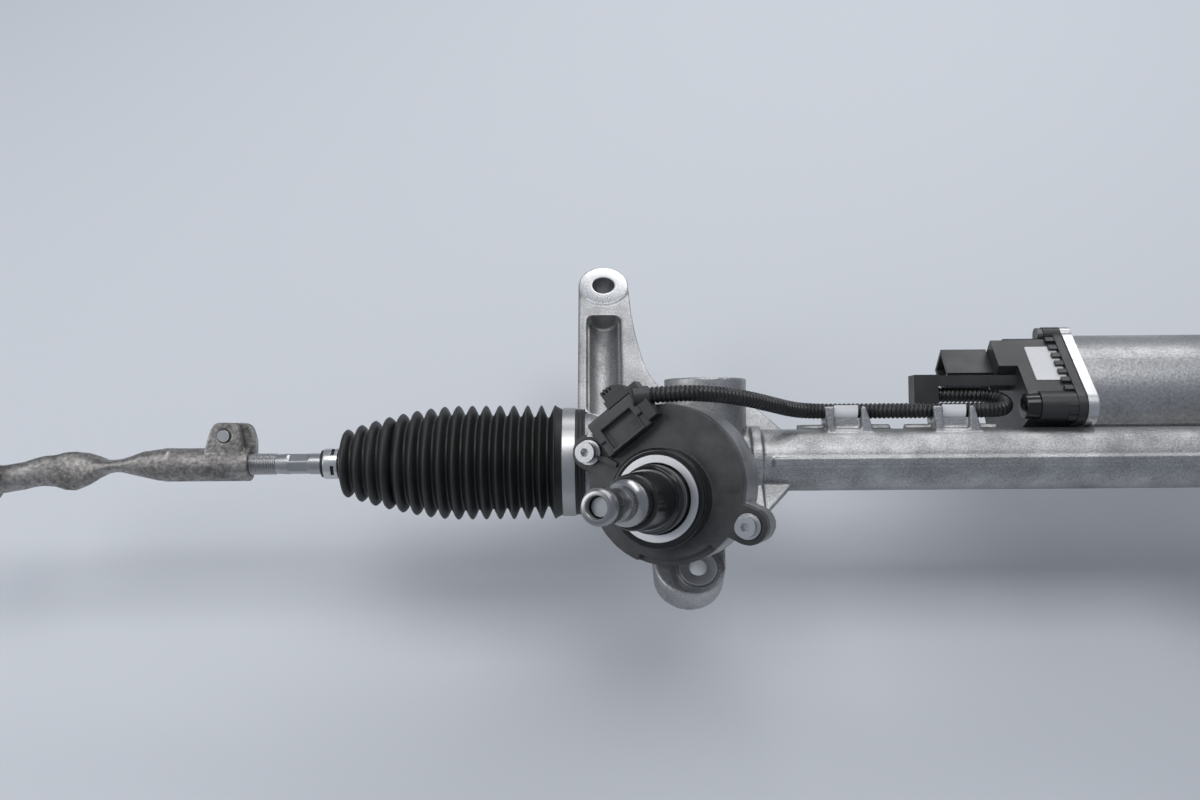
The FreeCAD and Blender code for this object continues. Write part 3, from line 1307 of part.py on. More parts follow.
def inner_socket():
    """The steel cup screwed into the rack's end."""
    shoulder = INNER_BALL_X + SOCKET_DEPTH
    nose = INNER_BALL_X - SOCKET_NOSE
    outline = [
        (nose, 0),
        (nose, SOCKET_RADIUS - 4),
        (INNER_BALL_X, SOCKET_RADIUS),
        (shoulder, SOCKET_RADIUS),
        (shoulder, STUB_RADIUS),
        (shoulder + STUB_LENGTH, STUB_RADIUS),
        (shoulder + STUB_LENGTH, 0),
    ]
    cup = turned(outline)
    return cup.cut(Part.makeSphere(INNER_BALL_RADIUS + SEAT_WALL, V(INNER_BALL_X, 0, 0)))


def inner_seat():
    """The plastic seat between the inner ball and its cup."""
    middle = (SEAT_START + SEAT_STOP) / 2

    def at(radius, degrees):
        angle = math.radians(degrees)
        return V(INNER_BALL_X + radius * math.cos(angle), 0, radius * math.sin(angle))

    inner = [at(INNER_BALL_RADIUS + RUNNING_GAP, a) for a in (SEAT_START, middle, SEAT_STOP)]
    outer = [at(INNER_BALL_RADIUS + SEAT_WALL, a) for a in (SEAT_STOP, middle, SEAT_START)]
    profile = [
        Part.Arc(*inner).toShape(),
        Part.makeLine(inner[2], outer[0]),
        Part.Arc(*outer).toShape(),
        Part.makeLine(outer[2], inner[0]),
    ]
    return Part.Face(Part.Wire(profile)).revolve(V(0, 0, 0), ALONG, 360)


def both_ends(shape):
    """A piece and its mirror image, as one group."""
    return Part.makeCompound([shape, mirrored(shape)])


def inner_sockets():
    return both_ends(inner_socket())


def ball_seats():
    return both_ends(inner_seat())


def on_rod(shape):
    """Moves a shape drawn in XY so that its Y follows the pinch lug's direction."""
    shape.Placement = Placement(V(0, 0, 0), Rotation(ALONG, SHAFT_ROLL)).multiply(shape.Placement)
    return shape


def bar_section(x, centre, height, depth):
    """An oval section of the forged bar, across X."""
    major = max(height, depth) / 2
    minor = min(height, depth) / 2
    oval = Part.Ellipse(V(0, 0, 0), major, minor).toShape()
    turn = 0 if height >= depth else 90
    oval.rotate(V(0, 0, 0), UP, turn)
    oval.Placement = Placement(V(x, centre, 0), ACROSS).multiply(oval.Placement)
    return Part.Wire(oval)


def rod_end():
    """The forged outer end: threaded sleeve, pinch lug, twisted bar and ball housing."""
    sleeve_end = SLEEVE_END_X - ROD_SLEEVE_LENGTH
    sleeve = drum(SLEEVE_OUTER, sleeve_end, SLEEVE_END_X)
    lug_centre = V(PINCH_X, PINCH_HEIGHT, -PINCH_DEPTH / 2)
    lug = bar(V(PINCH_X, 0, -PINCH_DEPTH / 2), PINCH_LUG_RADIUS, lug_centre, PINCH_LUG_RADIUS, PINCH_DEPTH)
    second = V(SLEEVE_END_X - PINCH_LUG_RADIUS, PINCH_HEIGHT - 4, -PINCH_DEPTH / 2)
    foot = V(second.x, 0, second.z)
    lug = lug.fuse(bar(foot, PINCH_LUG_RADIUS, second, PINCH_LUG_RADIUS, PINCH_DEPTH))
    lug = on_rod(lug)
    housing_x = OUTER_BALL_X
    forged = Part.makeLoft([bar_section(*section) for section in bar_sections()], True, False)
    forged = on_rod(forged)
    ball_centre = outer_ball_centre()
    foot = ball_centre - V(0, 0, OUTER_HOUSING_HEIGHT / 2)
    housing = Part.makeCylinder(OUTER_HOUSING_RADIUS, OUTER_HOUSING_HEIGHT, foot, UP)
    end = sleeve.fuse([lug, forged, housing])
    mouth = Part.makeCone(OUTER_BALL_RADIUS, OUTER_HOUSING_RADIUS - 4, OUTER_HOUSING_HEIGHT / 2, ball_centre, UP)
    cuts = [
        drum(ROD_RADIUS + RUNNING_GAP, SLEEVE_END_X - THREAD_DEPTH, SLEEVE_END_X),
        on_rod(block(2 * THREAD_DEPTH, 2 * PINCH_HEIGHT, PINCH_SLOT, V(SLEEVE_END_X - 5, PINCH_HEIGHT, -PINCH_SLOT / 2))),
        on_rod(post(PINCH_BOLT_RADIUS, -PINCH_DEPTH, PINCH_DEPTH, PINCH_X, PINCH_HEIGHT)),
        Part.makeSphere(OUTER_BALL_RADIUS + RUNNING_GAP, ball_centre),
        mouth,
    ]
    return end.cut(cuts)


def bar_sections():
    """The forged bar's sections: place, centre height, height and depth."""
    sleeve_end = SLEEVE_END_X - ROD_SLEEVE_LENGTH
    round_size = 2 * SLEEVE_OUTER - 1
    return [
        (sleeve_end + 6, 0, round_size, round_size + 0.01),
        (sleeve_end - 12, -1, BAR_THICKNESS, BAR_WIDTH - 3),
        (sleeve_end - 30, -3, BAR_THICKNESS - 1, BAR_WIDTH),
        (sleeve_end - 50, -4, BAR_WIDTH + 2, BAR_THICKNESS),
        (sleeve_end - 72, -5, BAR_WIDTH - 2, BAR_THICKNESS),
        (OUTER_BALL_X + OUTER_HOUSING_RADIUS - 6, OUTER_DROP, BAR_WIDTH - 2, BAR_THICKNESS + 6),
    ]


def outer_ball_centre():
    """The outer ball sits below the rod's own line, on the bar's cranked end."""
    return Rotation(ALONG, SHAFT_ROLL).multVec(V(OUTER_BALL_X, OUTER_DROP, 0))


def pinch_bolt():
    """The bolt that closes the sleeve on the thread."""
    half = PINCH_DEPTH / 2
    bolt = post(PINCH_BOLT_RADIUS, -half - 3, half + 1, PINCH_X, PINCH_HEIGHT)
    head = hexagon(12, 5).translated(V(PINCH_X, PINCH_HEIGHT, -half - 5))
    return on_rod(bolt.fuse(head))


def ball_stud():
    """The outer ball and its tapered, threaded stud."""
    centre = outer_ball_centre()
    outline = [
        (0, 0),
        (0, STUD_TAPER_RADIUS),
        (OUTER_HOUSING_HEIGHT / 2 + 6, STUD_TAPER_RADIUS),
        (OUTER_HOUSING_HEIGHT / 2 + 24, STUD_END_RADIUS),
        (STUD_LENGTH, STUD_END_RADIUS),
        (STUD_LENGTH, 0),
    ]
    return turned(outline, centre, UP).fuse(Part.makeSphere(OUTER_BALL_RADIUS, centre))


def dust_boot():
    """The rubber boot between the ball housing and the stud."""
    centre = outer_ball_centre()
    top = OUTER_HOUSING_HEIGHT / 2
    wall = 1.5
    outline = [
        (top, OUTER_HOUSING_RADIUS - wall),
        (top, OUTER_HOUSING_RADIUS),
        (top + 5, OUTER_HOUSING_RADIUS + 1),
        (top + 12, STUD_TAPER_RADIUS + 2.5),
        (top + 12, STUD_TAPER_RADIUS + 0.3),
        (top + 5, OUTER_HOUSING_RADIUS - wall - 1),
    ]
    return turned(outline, centre, UP)


def ends():
    """Every piece that both ends have, by name."""
    pieces = {
        "bellows": bellows,
        "small_clamp": small_clamp,
        "tie_rod": tie_rod,
        "rod_end": rod_end,
        "pinch_bolt": pinch_bolt,
        "ball_stud": ball_stud,
        "dust_boot": dust_boot,
    }
    nodes = {}
    for name, make in pieces.items():
        left = make()
        nodes[name + "_left"] = left
        nodes[name + "_right"] = mirrored(left)
    return nodes


CENTRE_PIECES = [
    pinion_housing,
    servo_housing,
    servo_cover,
    servo_screws,
    sensor_cover,
    sensor_ring,
    cover_screws,
    sensor_plug,
    plug_latch,
    sensor_conduit,
    cable_clips,
    cable_plug,
    upper_bearing,
    lower_bearing,
    bearing_nut,
    housing_cap,
    support_yoke,
    yoke_spring,
    yoke_plug,
    rack_bush,
    lug_sleeve,
    nut_bearing,
    bearing_lock_ring,
    motor_housing,
    motor_bearings,
    motor_flange,
    stator,
    unit_housing,
    unit_screws,
    circuit_board,
    power_connector,
    big_clamps,
    drive_belt,
    rack_bar,
    inner_sockets,
    ball_seats,
    pinion_shaft,
    input_shaft,
    torsion_bar,
    shaft_boot,
    magnet_ring,
    ball_nut,
    nut_pulley,
    rotor_shaft,
    rotor_magnets,
    motor_pulley,
]


def main():
    os.makedirs("parts", exist_ok=True)
    origin = V(ARM_X, ARM_Y, ARM_TOP_Z)
    nodes = {make.__name__: make() for make in CENTRE_PIECES}
    nodes.update(ends())
    for name, shape in nodes.items():
        shape = shape.removeSplitter()
        shape.translate(-origin)
        shape.exportStep(f"parts/{name}.step")


main()
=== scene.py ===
import math

import bmesh
import bpy
from mathutils import Matrix, Vector


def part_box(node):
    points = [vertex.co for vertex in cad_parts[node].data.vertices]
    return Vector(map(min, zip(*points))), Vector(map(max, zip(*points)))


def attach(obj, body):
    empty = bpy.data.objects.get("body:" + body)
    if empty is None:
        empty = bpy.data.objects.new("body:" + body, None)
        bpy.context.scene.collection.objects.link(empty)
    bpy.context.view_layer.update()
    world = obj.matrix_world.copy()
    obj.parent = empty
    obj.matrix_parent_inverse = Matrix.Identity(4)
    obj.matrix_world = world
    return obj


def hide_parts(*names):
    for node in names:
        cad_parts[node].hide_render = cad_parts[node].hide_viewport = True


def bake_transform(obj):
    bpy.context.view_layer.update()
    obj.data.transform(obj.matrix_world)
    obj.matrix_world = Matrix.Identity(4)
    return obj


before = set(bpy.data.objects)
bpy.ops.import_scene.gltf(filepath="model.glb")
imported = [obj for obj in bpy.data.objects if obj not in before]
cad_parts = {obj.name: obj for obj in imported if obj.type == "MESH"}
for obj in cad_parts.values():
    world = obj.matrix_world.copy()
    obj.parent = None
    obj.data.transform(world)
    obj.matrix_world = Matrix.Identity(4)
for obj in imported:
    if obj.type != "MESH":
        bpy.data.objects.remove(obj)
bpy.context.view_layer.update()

# Everything is drawn in millimetres about the rack axis, as in the part's source.
ORIGIN = Vector((-62.9, 153.2, 8.0))
MM = 0.001


def turn(axis, degrees):
    return Matrix.Rotation(math.radians(degrees), 4, axis)


SHAFT_ROLL = 35.0
SHAFT_SIDE = 22.0
SHAFT_OFFSET = 21.395
TOWER_FOOT = Vector((0, -math.cos(math.radians(SHAFT_ROLL)), -math.sin(math.radians(SHAFT_ROLL))))
TOWER_FOOT *= SHAFT_OFFSET

# From millimetres about the rack axis to metres in the row frame.
RACK = Matrix.Scale(MM, 4) @ Matrix.Translation(-ORIGIN)
RACK_X = RACK @ turn("Y", 90)
TOWER = RACK @ Matrix.Translation(TOWER_FOOT) @ turn("X", SHAFT_ROLL) @ turn("Y", -SHAFT_SIDE)
TOWER_TOP = 63.0
COVER_TOP = 71.0
TOWER_OFFSET = 7.7
COVER_SCREWS = ((-50.0, 28.0), (52.9, -16.7))
MOTOR = RACK @ Matrix.Translation((0, 64.2, -15.4))
SOCKET = TOWER @ Matrix.Translation((-26.1, 45.1, COVER_TOP)) @ turn("Z", 36.8)

STOP_FACE_X = -91.5
RIGHT_STOP_X = 440.0
MIDDLE_X = (STOP_FACE_X + RIGHT_STOP_X) / 2
INNER_BALL_X = -188.0
SEAT_RADIUS = 32.5
BELLOWS_END_X = -240.6


# Shapes

# A corner's round takes at most this share of a side, and a shorter one is left sharp.
LONGEST_ROUND = 0.45
SHORTEST_ROUND = 0.02

# A thread's depth, as a share of its pitch.
THREAD_DEPTH = 0.61


def piece(name, verts, faces, place, finish, body, angle=40):
    """A mesh piece in the row frame that rides on a body."""
    mesh = bpy.data.meshes.new(name)
    mesh.from_pydata([place @ Vector(v) for v in verts], [], faces)
    work = bmesh.new()
    work.from_mesh(mesh)
    bmesh.ops.remove_doubles(work, verts=work.verts, dist=1e-6)
    bmesh.ops.recalc_face_normals(work, faces=work.faces)
    work.to_mesh(mesh)
    work.free()
    mesh.materials.append(finish)
    mesh.shade_smooth()
    mesh.set_sharp_from_angle(angle=math.radians(angle))
    obj = bpy.data.objects.new(name, mesh)
    bpy.context.scene.collection.objects.link(obj)
    if body:
        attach(obj, body)
    return obj


def fillet(outline, radius, steps=4):
    """Rounds the corners of a closed 2-D outline, whose points may give their own radius."""
    points = [Vector(p[:2]) for p in outline]
    radii = [p[2] if len(p) > 2 else radius for p in outline]
    result = []
    count = len(points)
    for i, corner in enumerate(points):
        before = points[i - 1] - corner
        after = points[(i + 1) % count] - corner
        reach = min(radii[i], before.length * LONGEST_ROUND, after.length * LONGEST_ROUND)
        if reach < SHORTEST_ROUND:
            result.append(tuple(corner))
            continue
        start = corner + before.normalized() * reach
        end = corner + after.normalized() * reach
        for step in range(steps + 1):
            t = step / steps
            result.append(tuple(start * (1 - t) ** 2 + corner * 2 * t * (1 - t) + end * t * t))
    return result


def lathe(name, outline, place, finish, body, radius, steps, angle=40):
    """Turns a closed outline of (height, radius) pairs about local Z, its corners rounded."""
    ring = fillet(outline, radius)
    verts = []
    for step in range(steps):
        a = 2 * math.pi * step / steps
        verts += [(r * math.cos(a), r * math.sin(a), h) for h, r in ring]
    return piece(name, verts, ring_faces(steps, len(ring)), place, finish, body, angle)


def toothed(name, outline, teeth, place, finish, body, slope=6):
    """Turns a closed outline of (height, radius[, tooth depth]) about local Z, with teeth cut along it."""
    steps = teeth * slope
    verts = []
    for step in range(steps):
        a = 2 * math.pi * step / steps
        sink = 1 - abs(2 * (step % slope) / slope - 1)
        for point in outline:
            radius = point[1] - (point[2] * sink if len(point) > 2 else 0)
            verts.append((radius * math.cos(a), radius * math.sin(a), point[0]))
    return piece(name, verts, ring_faces(steps, len(outline)), place, finish, body)


def threaded(name, start, end, radius, pitch, place, finish, body, around=48, along=8):
    """A threaded bar along local Z, its ridge wound as a helix."""
    rows = round((end - start) / pitch * along)
    depth = THREAD_DEPTH * pitch
    verts = []
    for step in range(around):
        a = 2 * math.pi * step / around
        for row in range(rows + 1):
            phase = (row / along + step / around) % 1.0
            r = radius - depth * (1 - abs(2 * phase - 1))
            if row in (0, rows):
                r = radius - depth
            verts.append((r * math.cos(a), r * math.sin(a), start + row * pitch / along))
    return piece(name, verts, ring_faces(around, rows + 1, False), place, finish, body, 60)


def ring_faces(steps, count, closed=True):
    """The quads between neighbouring copies of an outline that is turned round an axis."""
    faces = []
    for step in range(steps):
        here = step * count
        there = (step + 1) % steps * count
        for i in range(count if closed else count - 1):
            j = (i + 1) % count
            faces.append((here + i, there + i, there + j, here + j))
    return faces


def prism(name, outline, low, high, place, finish, body, radius, edge, corner=4):
    """A 2-D outline drawn up from low to high, with rounded corners and edges."""
    ring = fillet(outline, radius, corner)
    count = len(ring)
    verts = [(x, y, low) for x, y in ring] + [(x, y, high) for x, y in ring]
    faces = [tuple(range(count))[::-1], tuple(range(count, 2 * count))]
    faces += [(i, (i + 1) % count, (i + 1) % count + count, i + count) for i in range(count)]
    obj = piece(name, verts, faces, place, finish, body)
    soften(obj, edge)
    return obj


def box(name, size, centre, place, finish, body, edge):
    """A block that stands on its centre point's height."""
    a, b = size[0] / 2, size[1] / 2
    outline = [(-a, -b), (a, -b), (a, b), (-a, b)]
    return prism(name, outline, 0, size[2], place @ Matrix.Translation(centre), finish, body, 0.3, edge)


def loft(name, rings, place, finish, body):
    """A skin over closed rings that have as many points each, with flat ends."""
    count = len(rings[0])
    verts = [point for ring in rings for point in ring]
    faces = [tuple(range(count)), tuple(range(len(verts) - count, len(verts)))]
    for here in range(0, len(verts) - count, count):
        for i in range(count):
            j = (i + 1) % count
            faces.append((here + i, here + j, here + count + j, here + count + i))
    return piece(name, verts, faces, place, finish, body)


def weld(name, parts, cutters, voxel, passes, finish, body="housing"):
    """Joins closed pieces into one casting or forging, cuts it, and gives it soft corners."""
    obj = parts[0]
    obj.name = name
    for operation, tools in (("UNION", parts[1:]), ("DIFFERENCE", cutters)):
        for tool in tools:
            modifier = obj.modifiers.new("join", "BOOLEAN")
            modifier.operation = operation
            modifier.solver = "MANIFOLD"
            modifier.object = tool
    remesh = obj.modifiers.new("skin", "REMESH")
    remesh.mode = "VOXEL"
    remesh.voxel_size = voxel * MM * 1
    relax = obj.modifiers.new("relax", "SMOOTH")
    relax.factor = 0.5
    relax.iterations = passes
    bpy.context.view_layer.update()
    bake(obj)
    for tool in parts[1:] + cutters:
        bpy.data.objects.remove(tool)
    obj.data.materials.clear()
    obj.data.materials.append(finish)
    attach(obj, body)
    return obj


def soften(obj, width, segments=3, angle=30):
    """Rounds an object's sharp edges."""
    if width <= 0:
        return obj
    bevel = obj.modifiers.new("edges", "BEVEL")
    bevel.width = width * MM
    bevel.segments = segments
    bevel.limit_method = "ANGLE"
    bevel.angle_limit = math.radians(angle)
    bevel.harden_normals = True
    return obj


def cut(obj, *cutters):
    """Takes the cutters' shapes out of an object."""
    for cutter in cutters:
        modifier = obj.modifiers.new("cut", "BOOLEAN")
        modifier.operation = "DIFFERENCE"
        modifier.solver = "EXACT"
        modifier.object = cutter
    bpy.context.view_layer.update()
    bake(obj)
    for cutter in cutters:
        bpy.data.objects.remove(cutter)
    return obj


def bake(obj):
    """Applies an object's modifiers."""
    graph = bpy.context.evaluated_depsgraph_get()
    mesh = bpy.data.meshes.new_from_object(obj.evaluated_get(graph))
    obj.modifiers.clear()
    obj.data = mesh
    mesh.shade_smooth()
    mesh.set_sharp_from_angle(angle=math.radians(40))
    return obj


def end_frame(side):
    """The rack frame for one end, mirrored for the right one."""
    if side == "left":
        return RACK
    return RACK @ Matrix.Translation((2 * MIDDLE_X, 0, 0)) @ Matrix.Scale(-1, 4, (1, 0, 0))


def end_place(side):
    """The same frame with its lathe axis along the rack."""
    return end_frame(side) @ turn("Y", 90)


# Finishes


def shader(name):
    """An empty material with its nodes and its main shader."""
    material = bpy.data.materials.new(name)
    material.use_nodes = True
    return material, material.node_tree, material.node_tree.nodes["Principled BSDF"]


def add(tree, kind, **values):
    """A new node with its sockets or settings filled in."""
    node = tree.nodes.new(kind)
    for key, value in values.items():
        if key in node.inputs:
            node.inputs[key].default_value = value
        else:
            setattr(node, key, value)
    return node


def noise(tree, scale, detail):
    """A noise texture that is fixed to the object."""
    place = tree.nodes.get("place") or add(tree, "ShaderNodeTexCoord", name="place")
    node = add(tree, "ShaderNodeTexNoise", Scale=scale, Detail=detail, Roughness=0.6)
    tree.links.new(place.outputs["Object"], node.inputs["Vector"])
    return node


def ramp(tree, source, low, high, start=0.3, end=0.7):
    """Colours between two tones by a grey value."""
    node = tree.nodes.new("ShaderNodeValToRGB")
    first, last = node.color_ramp.elements
    first.position, first.color = start, low
    last.position, last.color = end, high
    tree.links.new(source, node.inputs["Fac"])
    return node


def tone(value, warm=0.0):
    """A grey, or a warmer tone of it."""
    return (value * (1 + warm), value, value * (1 - warm), 1)


def round_edges(tree, bumps, radius):
    """Lets sharp edges catch the light as if they were rounded."""
    edges = add(tree, "ShaderNodeBevel", samples=3, Radius=radius * MM)
    tree.links.new(edges.outputs["Normal"], bumps.inputs["Normal"])


def speckle(tree, wide, fine, share):
    """Mixes the fine grain into the wide patches."""
    mix = tree.nodes.new("ShaderNodeMix")
    mix.inputs["Factor"].default_value = share
    tree.links.new(wide.outputs["Fac"], mix.inputs["A"])
    tree.links.new(fine.outputs["Fac"], mix.inputs["B"])
    return mix.outputs["Result"]


def metal(name, dark, light, rough, grain=900, bump=0.15, patches=25, warm=0.0, sand=0.0, edge=0.6):
    """A metal whose tone, gloss and surface vary a little, from wide patches to a share of sandy grain."""
    material, tree, main = shader(name)
    main.inputs["Metallic"].default_value = 1.0
    wide = noise(tree, patches, 5)
    fine = noise(tree, grain, 3)
    colour = ramp(tree, speckle(tree, wide, fine, sand), tone(dark, warm), tone(light, warm), 0.38, 0.62)
    gloss = ramp(tree, wide.outputs["Fac"], tone(rough[1]), tone(rough[0]))
    bumps = add(tree, "ShaderNodeBump", Strength=bump, Distance=0.0006)
    round_edges(tree, bumps, edge)
    tree.links.new(colour.outputs["Color"], main.inputs["Base Color"])
    tree.links.new(gloss.outputs["Color"], main.inputs["Roughness"])
    tree.links.new(fine.outputs["Fac"], bumps.inputs["Height"])
    tree.links.new(bumps.outputs["Normal"], main.inputs["Normal"])
    return material


def plastic(name, dark, light, rough, grain=1400, bump=0.1, patches=40):
    """A moulded plastic or rubber with a fine grain."""
    material, tree, main = shader(name)
    wide = noise(tree, patches, 4)
    fine = noise(tree, grain, 2)
    colour = ramp(tree, wide.outputs["Fac"], tone(dark), tone(light))
    gloss = ramp(tree, wide.outputs["Fac"], tone(rough[0]), tone(rough[1]))
    bumps = add(tree, "ShaderNodeBump", Strength=bump, Distance=0.0003)
    round_edges(tree, bumps, 0.4)
    tree.links.new(colour.outputs["Color"], main.inputs["Base Color"])
    tree.links.new(gloss.outputs["Color"], main.inputs["Roughness"])
    tree.links.new(fine.outputs["Fac"], bumps.inputs["Height"])
    tree.links.new(bumps.outputs["Normal"], main.inputs["Normal"])
    return material


CAST = metal("cast_alloy", 0.26, 0.53, (0.36, 0.52), 850, 0.45, 35, 0.0, 0.5)
CAN = metal("can_alloy", 0.3, 0.5, (0.34, 0.5), 500, 0.3, 18, 0.0, 0.5)
MACHINED = metal("machined_alloy", 0.5, 0.62, (0.3, 0.4), 1500, 0.06)
FORGED = metal("forged_alloy", 0.15, 0.4, (0.4, 0.6), 380, 0.7, 45, 0.05, 0.55)
SHAFT = metal("shaft_steel", 0.3, 0.42, (0.2, 0.32), 1500, 0.05, edge=0.2)
STEEL = metal("bright_steel", 0.55, 0.66, (0.16, 0.28), 1500, 0.04)
GREY_STEEL = metal("grey_steel", 0.36, 0.46, (0.28, 0.4), 900, 0.1)
FACED = metal("turned_face", 0.6, 0.68, (0.24, 0.3), 900, 0.03)
BAND = metal("band_steel", 0.4, 0.5, (0.34, 0.44), 1200, 0.05)
RING = metal("ring_steel", 0.7, 0.8, (0.34, 0.42), 1500, 0.03)
ZINC = metal("plated_steel", 0.58, 0.7, (0.22, 0.34), 900, 0.08)
DARK_STEEL = metal("dark_steel", 0.12, 0.2, (0.3, 0.45), 900, 0.1)
COPPER = metal("copper_winding", 0.4, 0.5, (0.3, 0.4), warm=0.35)
PLASTIC = plastic("black_moulding", 0.022, 0.036, (0.32, 0.5), 1300, 0.2)
COVER = plastic("cover_moulding", 0.03, 0.07, (0.32, 0.5), 1100, 0.25, 60)
RUBBER = plastic("boot_rubber", 0.008, 0.014, (0.42, 0.55), 1500, 0.1)
GLOSSY = plastic("shaft_moulding", 0.006, 0.01, (0.12, 0.22), 1500, 0.04)
CONDUIT = plastic("conduit_plastic", 0.012, 0.02, (0.28, 0.4), 1500, 0.05)
LABEL = plastic("blank_plate", 0.55, 0.62, (0.35, 0.45), 1500, 0.02)
WHITE = plastic("white_clip", 0.75, 0.85, (0.35, 0.5))
GREY = plastic("grey_plastic", 0.3, 0.36, (0.4, 0.55))
GREEN = plastic("board_green", 0.05, 0.08, (0.3, 0.4))

NODE_FINISH = {
    CAST: ("pinion_housing", "servo_housing", "servo_cover"),
    CAN: ("motor_housing",),
    MACHINED: ("motor_flange", "housing_cap", "yoke_plug"),
    FORGED: ("rod_end_left", "rod_end_right"),
    STEEL: (
        "pinion_shaft",
        "rack_bar",
        "torsion_bar",
        "upper_bearing",
        "lower_bearing",
        "nut_bearing",
        "motor_bearings",
        "ball_nut",
        "nut_pulley",
        "motor_pulley",
        "rotor_shaft",
        "ball_stud_left",
        "ball_stud_right",
    ),
    ZINC: (
        "cover_screws",
        "servo_screws",
        "bearing_nut",
        "bearing_lock_ring",
        "small_clamp_left",
        "small_clamp_right",
        "pinch_bolt_left",
        "pinch_bolt_right",
    ),
    DARK_STEEL: ("inner_sockets", "yoke_spring", "rotor_magnets", "unit_screws"),
    GREY_STEEL: ("tie_rod_left", "tie_rod_right"),
    SHAFT: ("input_shaft",),
    BAND: ("big_clamps",),
    RING: ("sensor_ring", "lug_sleeve"),
    PLASTIC: (
        "sensor_plug",
        "plug_latch",
        "cable_plug",
        "unit_housing",
        "power_connector",
        "magnet_ring",
        "drive_belt",
        "ball_seats",
    ),
    COVER: ("sensor_cover",),
    RUBBER: ("bellows_left", "bellows_right", "dust_boot_left", "dust_boot_right"),
    GLOSSY: ("shaft_boot",),
    CONDUIT: ("sensor_conduit",),
    WHITE: ("cable_clips",),
    GREY: ("support_yoke", "rack_bush"),
    COPPER: ("stator",),
    GREEN: ("circuit_board",),
}


def finish_nodes():
    """Gives every carried-over node its finish."""
    for finish, names in NODE_FINISH.items():
        for name in names:
            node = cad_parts[name]
            node.data.materials.clear()
            node.data.materials.append(finish)


# Camera, floor and light

# The photograph's viewpoint, in millimetres about the rack axis, with its angle below the horizon.
EYE = (-66.0, -440.5, 653.5)
LOOK_DOWN = 53.0
CAMERA_ROLL = -0.45

# Low enough for the rod ends at the tie rods' limits.
FLOOR_DROP = -125.0
FLOOR_REACH = 6.0


def set_camera():
    """The camera at the photograph's viewing angle."""
    camera = bpy.data.objects.new("camera", bpy.data.cameras.new("camera"))
    camera.data.lens = 35.0
    camera.data.sensor_width = 36.0
    camera.data.clip_start = 0.05
    eye = RACK @ Vector(EYE)
    look = Vector((0, math.cos(math.radians(LOOK_DOWN)), -math.sin(math.radians(LOOK_DOWN))))
    aim = look.to_track_quat("-Z", "Y").to_matrix().to_4x4()
    camera.matrix_world = Matrix.Translation(eye) @ aim @ turn("Z", CAMERA_ROLL)
    bpy.context.scene.collection.objects.link(camera)
    bpy.context.scene.camera = camera


def set_floor():
    """A plain pale floor."""
    floor_z = (RACK @ Vector((0, 0, FLOOR_DROP))).z
    reach = FLOOR_REACH
    mesh = bpy.data.meshes.new("floor")
    corners = [(-reach, -reach), (reach, -reach), (reach, reach), (-reach, reach)]
    mesh.from_pydata([(x, y, floor_z) for x, y in corners], [], [(0, 1, 2, 3)])
    material, _, main = shader("floor")
    main.inputs["Base Color"].default_value = (0.62, 0.64, 0.67, 1)
    main.inputs["Roughness"].default_value = 0.9
    mesh.materials.append(material)
    floor = bpy.data.objects.new("floor", mesh)
    bpy.context.scene.collection.objects.link(floor)


def area_light(name, place, target, size, power):
    """A soft lamp that faces its target."""
    light = bpy.data.lights.new(name, "AREA")
    light.shape = "RECTANGLE"
    light.size, light.size_y = size
    light.energy = power
    obj = bpy.data.objects.new(name, light)
    way = (Vector(target) - Vector(place)).to_track_quat("-Z", "Y")
    obj.matrix_world = Matrix.Translation(place) @ way.to_matrix().to_4x4()
    bpy.context.scene.collection.objects.link(obj)


def set_light():
    """Soft lamps above, to the left and behind, under a pale sky."""
    scene = bpy.context.scene
    scene.view_settings.view_transform = "Standard"
    world = bpy.data.worlds.new("studio")
    scene.world = world
    world.use_nodes = True
    ground = world.node_tree.nodes["Background"]
    ground.inputs["Color"].default_value = (0.75, 0.82, 0.95, 1)
    ground.inputs["Strength"].default_value = 0.4
    area_light("top", (0.1, 0.1, 1.6), (0.1, -0.15, 0), (1.6, 0.7), 12)
    area_light("left", (-1.3, -0.4, 0.9), (0, -0.15, 0), (0.6, 1.0), 6)
    area_light("back", (0.5, 1.1, 0.9), (0.1, -0.15, 0), (1.4, 0.4), 7)


# Sensor cable

# The conduit's route, as places along the rack, up the brackets' lean and to their front.
CONDUIT_ROUTE = (
    (-36.3, 41.1, 67.3),
    (-17.2, 42.7, 64.9),
    (4.0, 42.4, 56.5),
    (26.0, 40.3, 42.0),
    (47.0, 36.5, 24.0),
    (64.0, 33.4, 7.5),
    (82.0, 32.7, 0.0),
    (99.0, 32.7, 0.0),
    (171.5, 32.7, 0.0),
    (192.0, 32.7, 0.0),
    (208.0, 33.2, -4.0),
    (213.5, 38.0, -13.5),
    (206.5, 43.4, -22.5),
    (190.0, 44.2, -24.0),
    (168.0, 44.2, -24.0),
)
BRACKET_LEAN = 34.4
CONDUIT_STEP = 0.42
CONDUIT_PITCH = 3.0
CONDUIT_VALLEY = 4.45
CONDUIT_RIDGE = 0.8


def lean_point(x, rise, front):
    """A point by its height up the brackets' lean and its offset to the front."""
    c, s = math.cos(math.radians(BRACKET_LEAN)), math.sin(math.radians(BRACKET_LEAN))
    return RACK @ Vector((x, rise * c - front * s, rise * s + front * c))


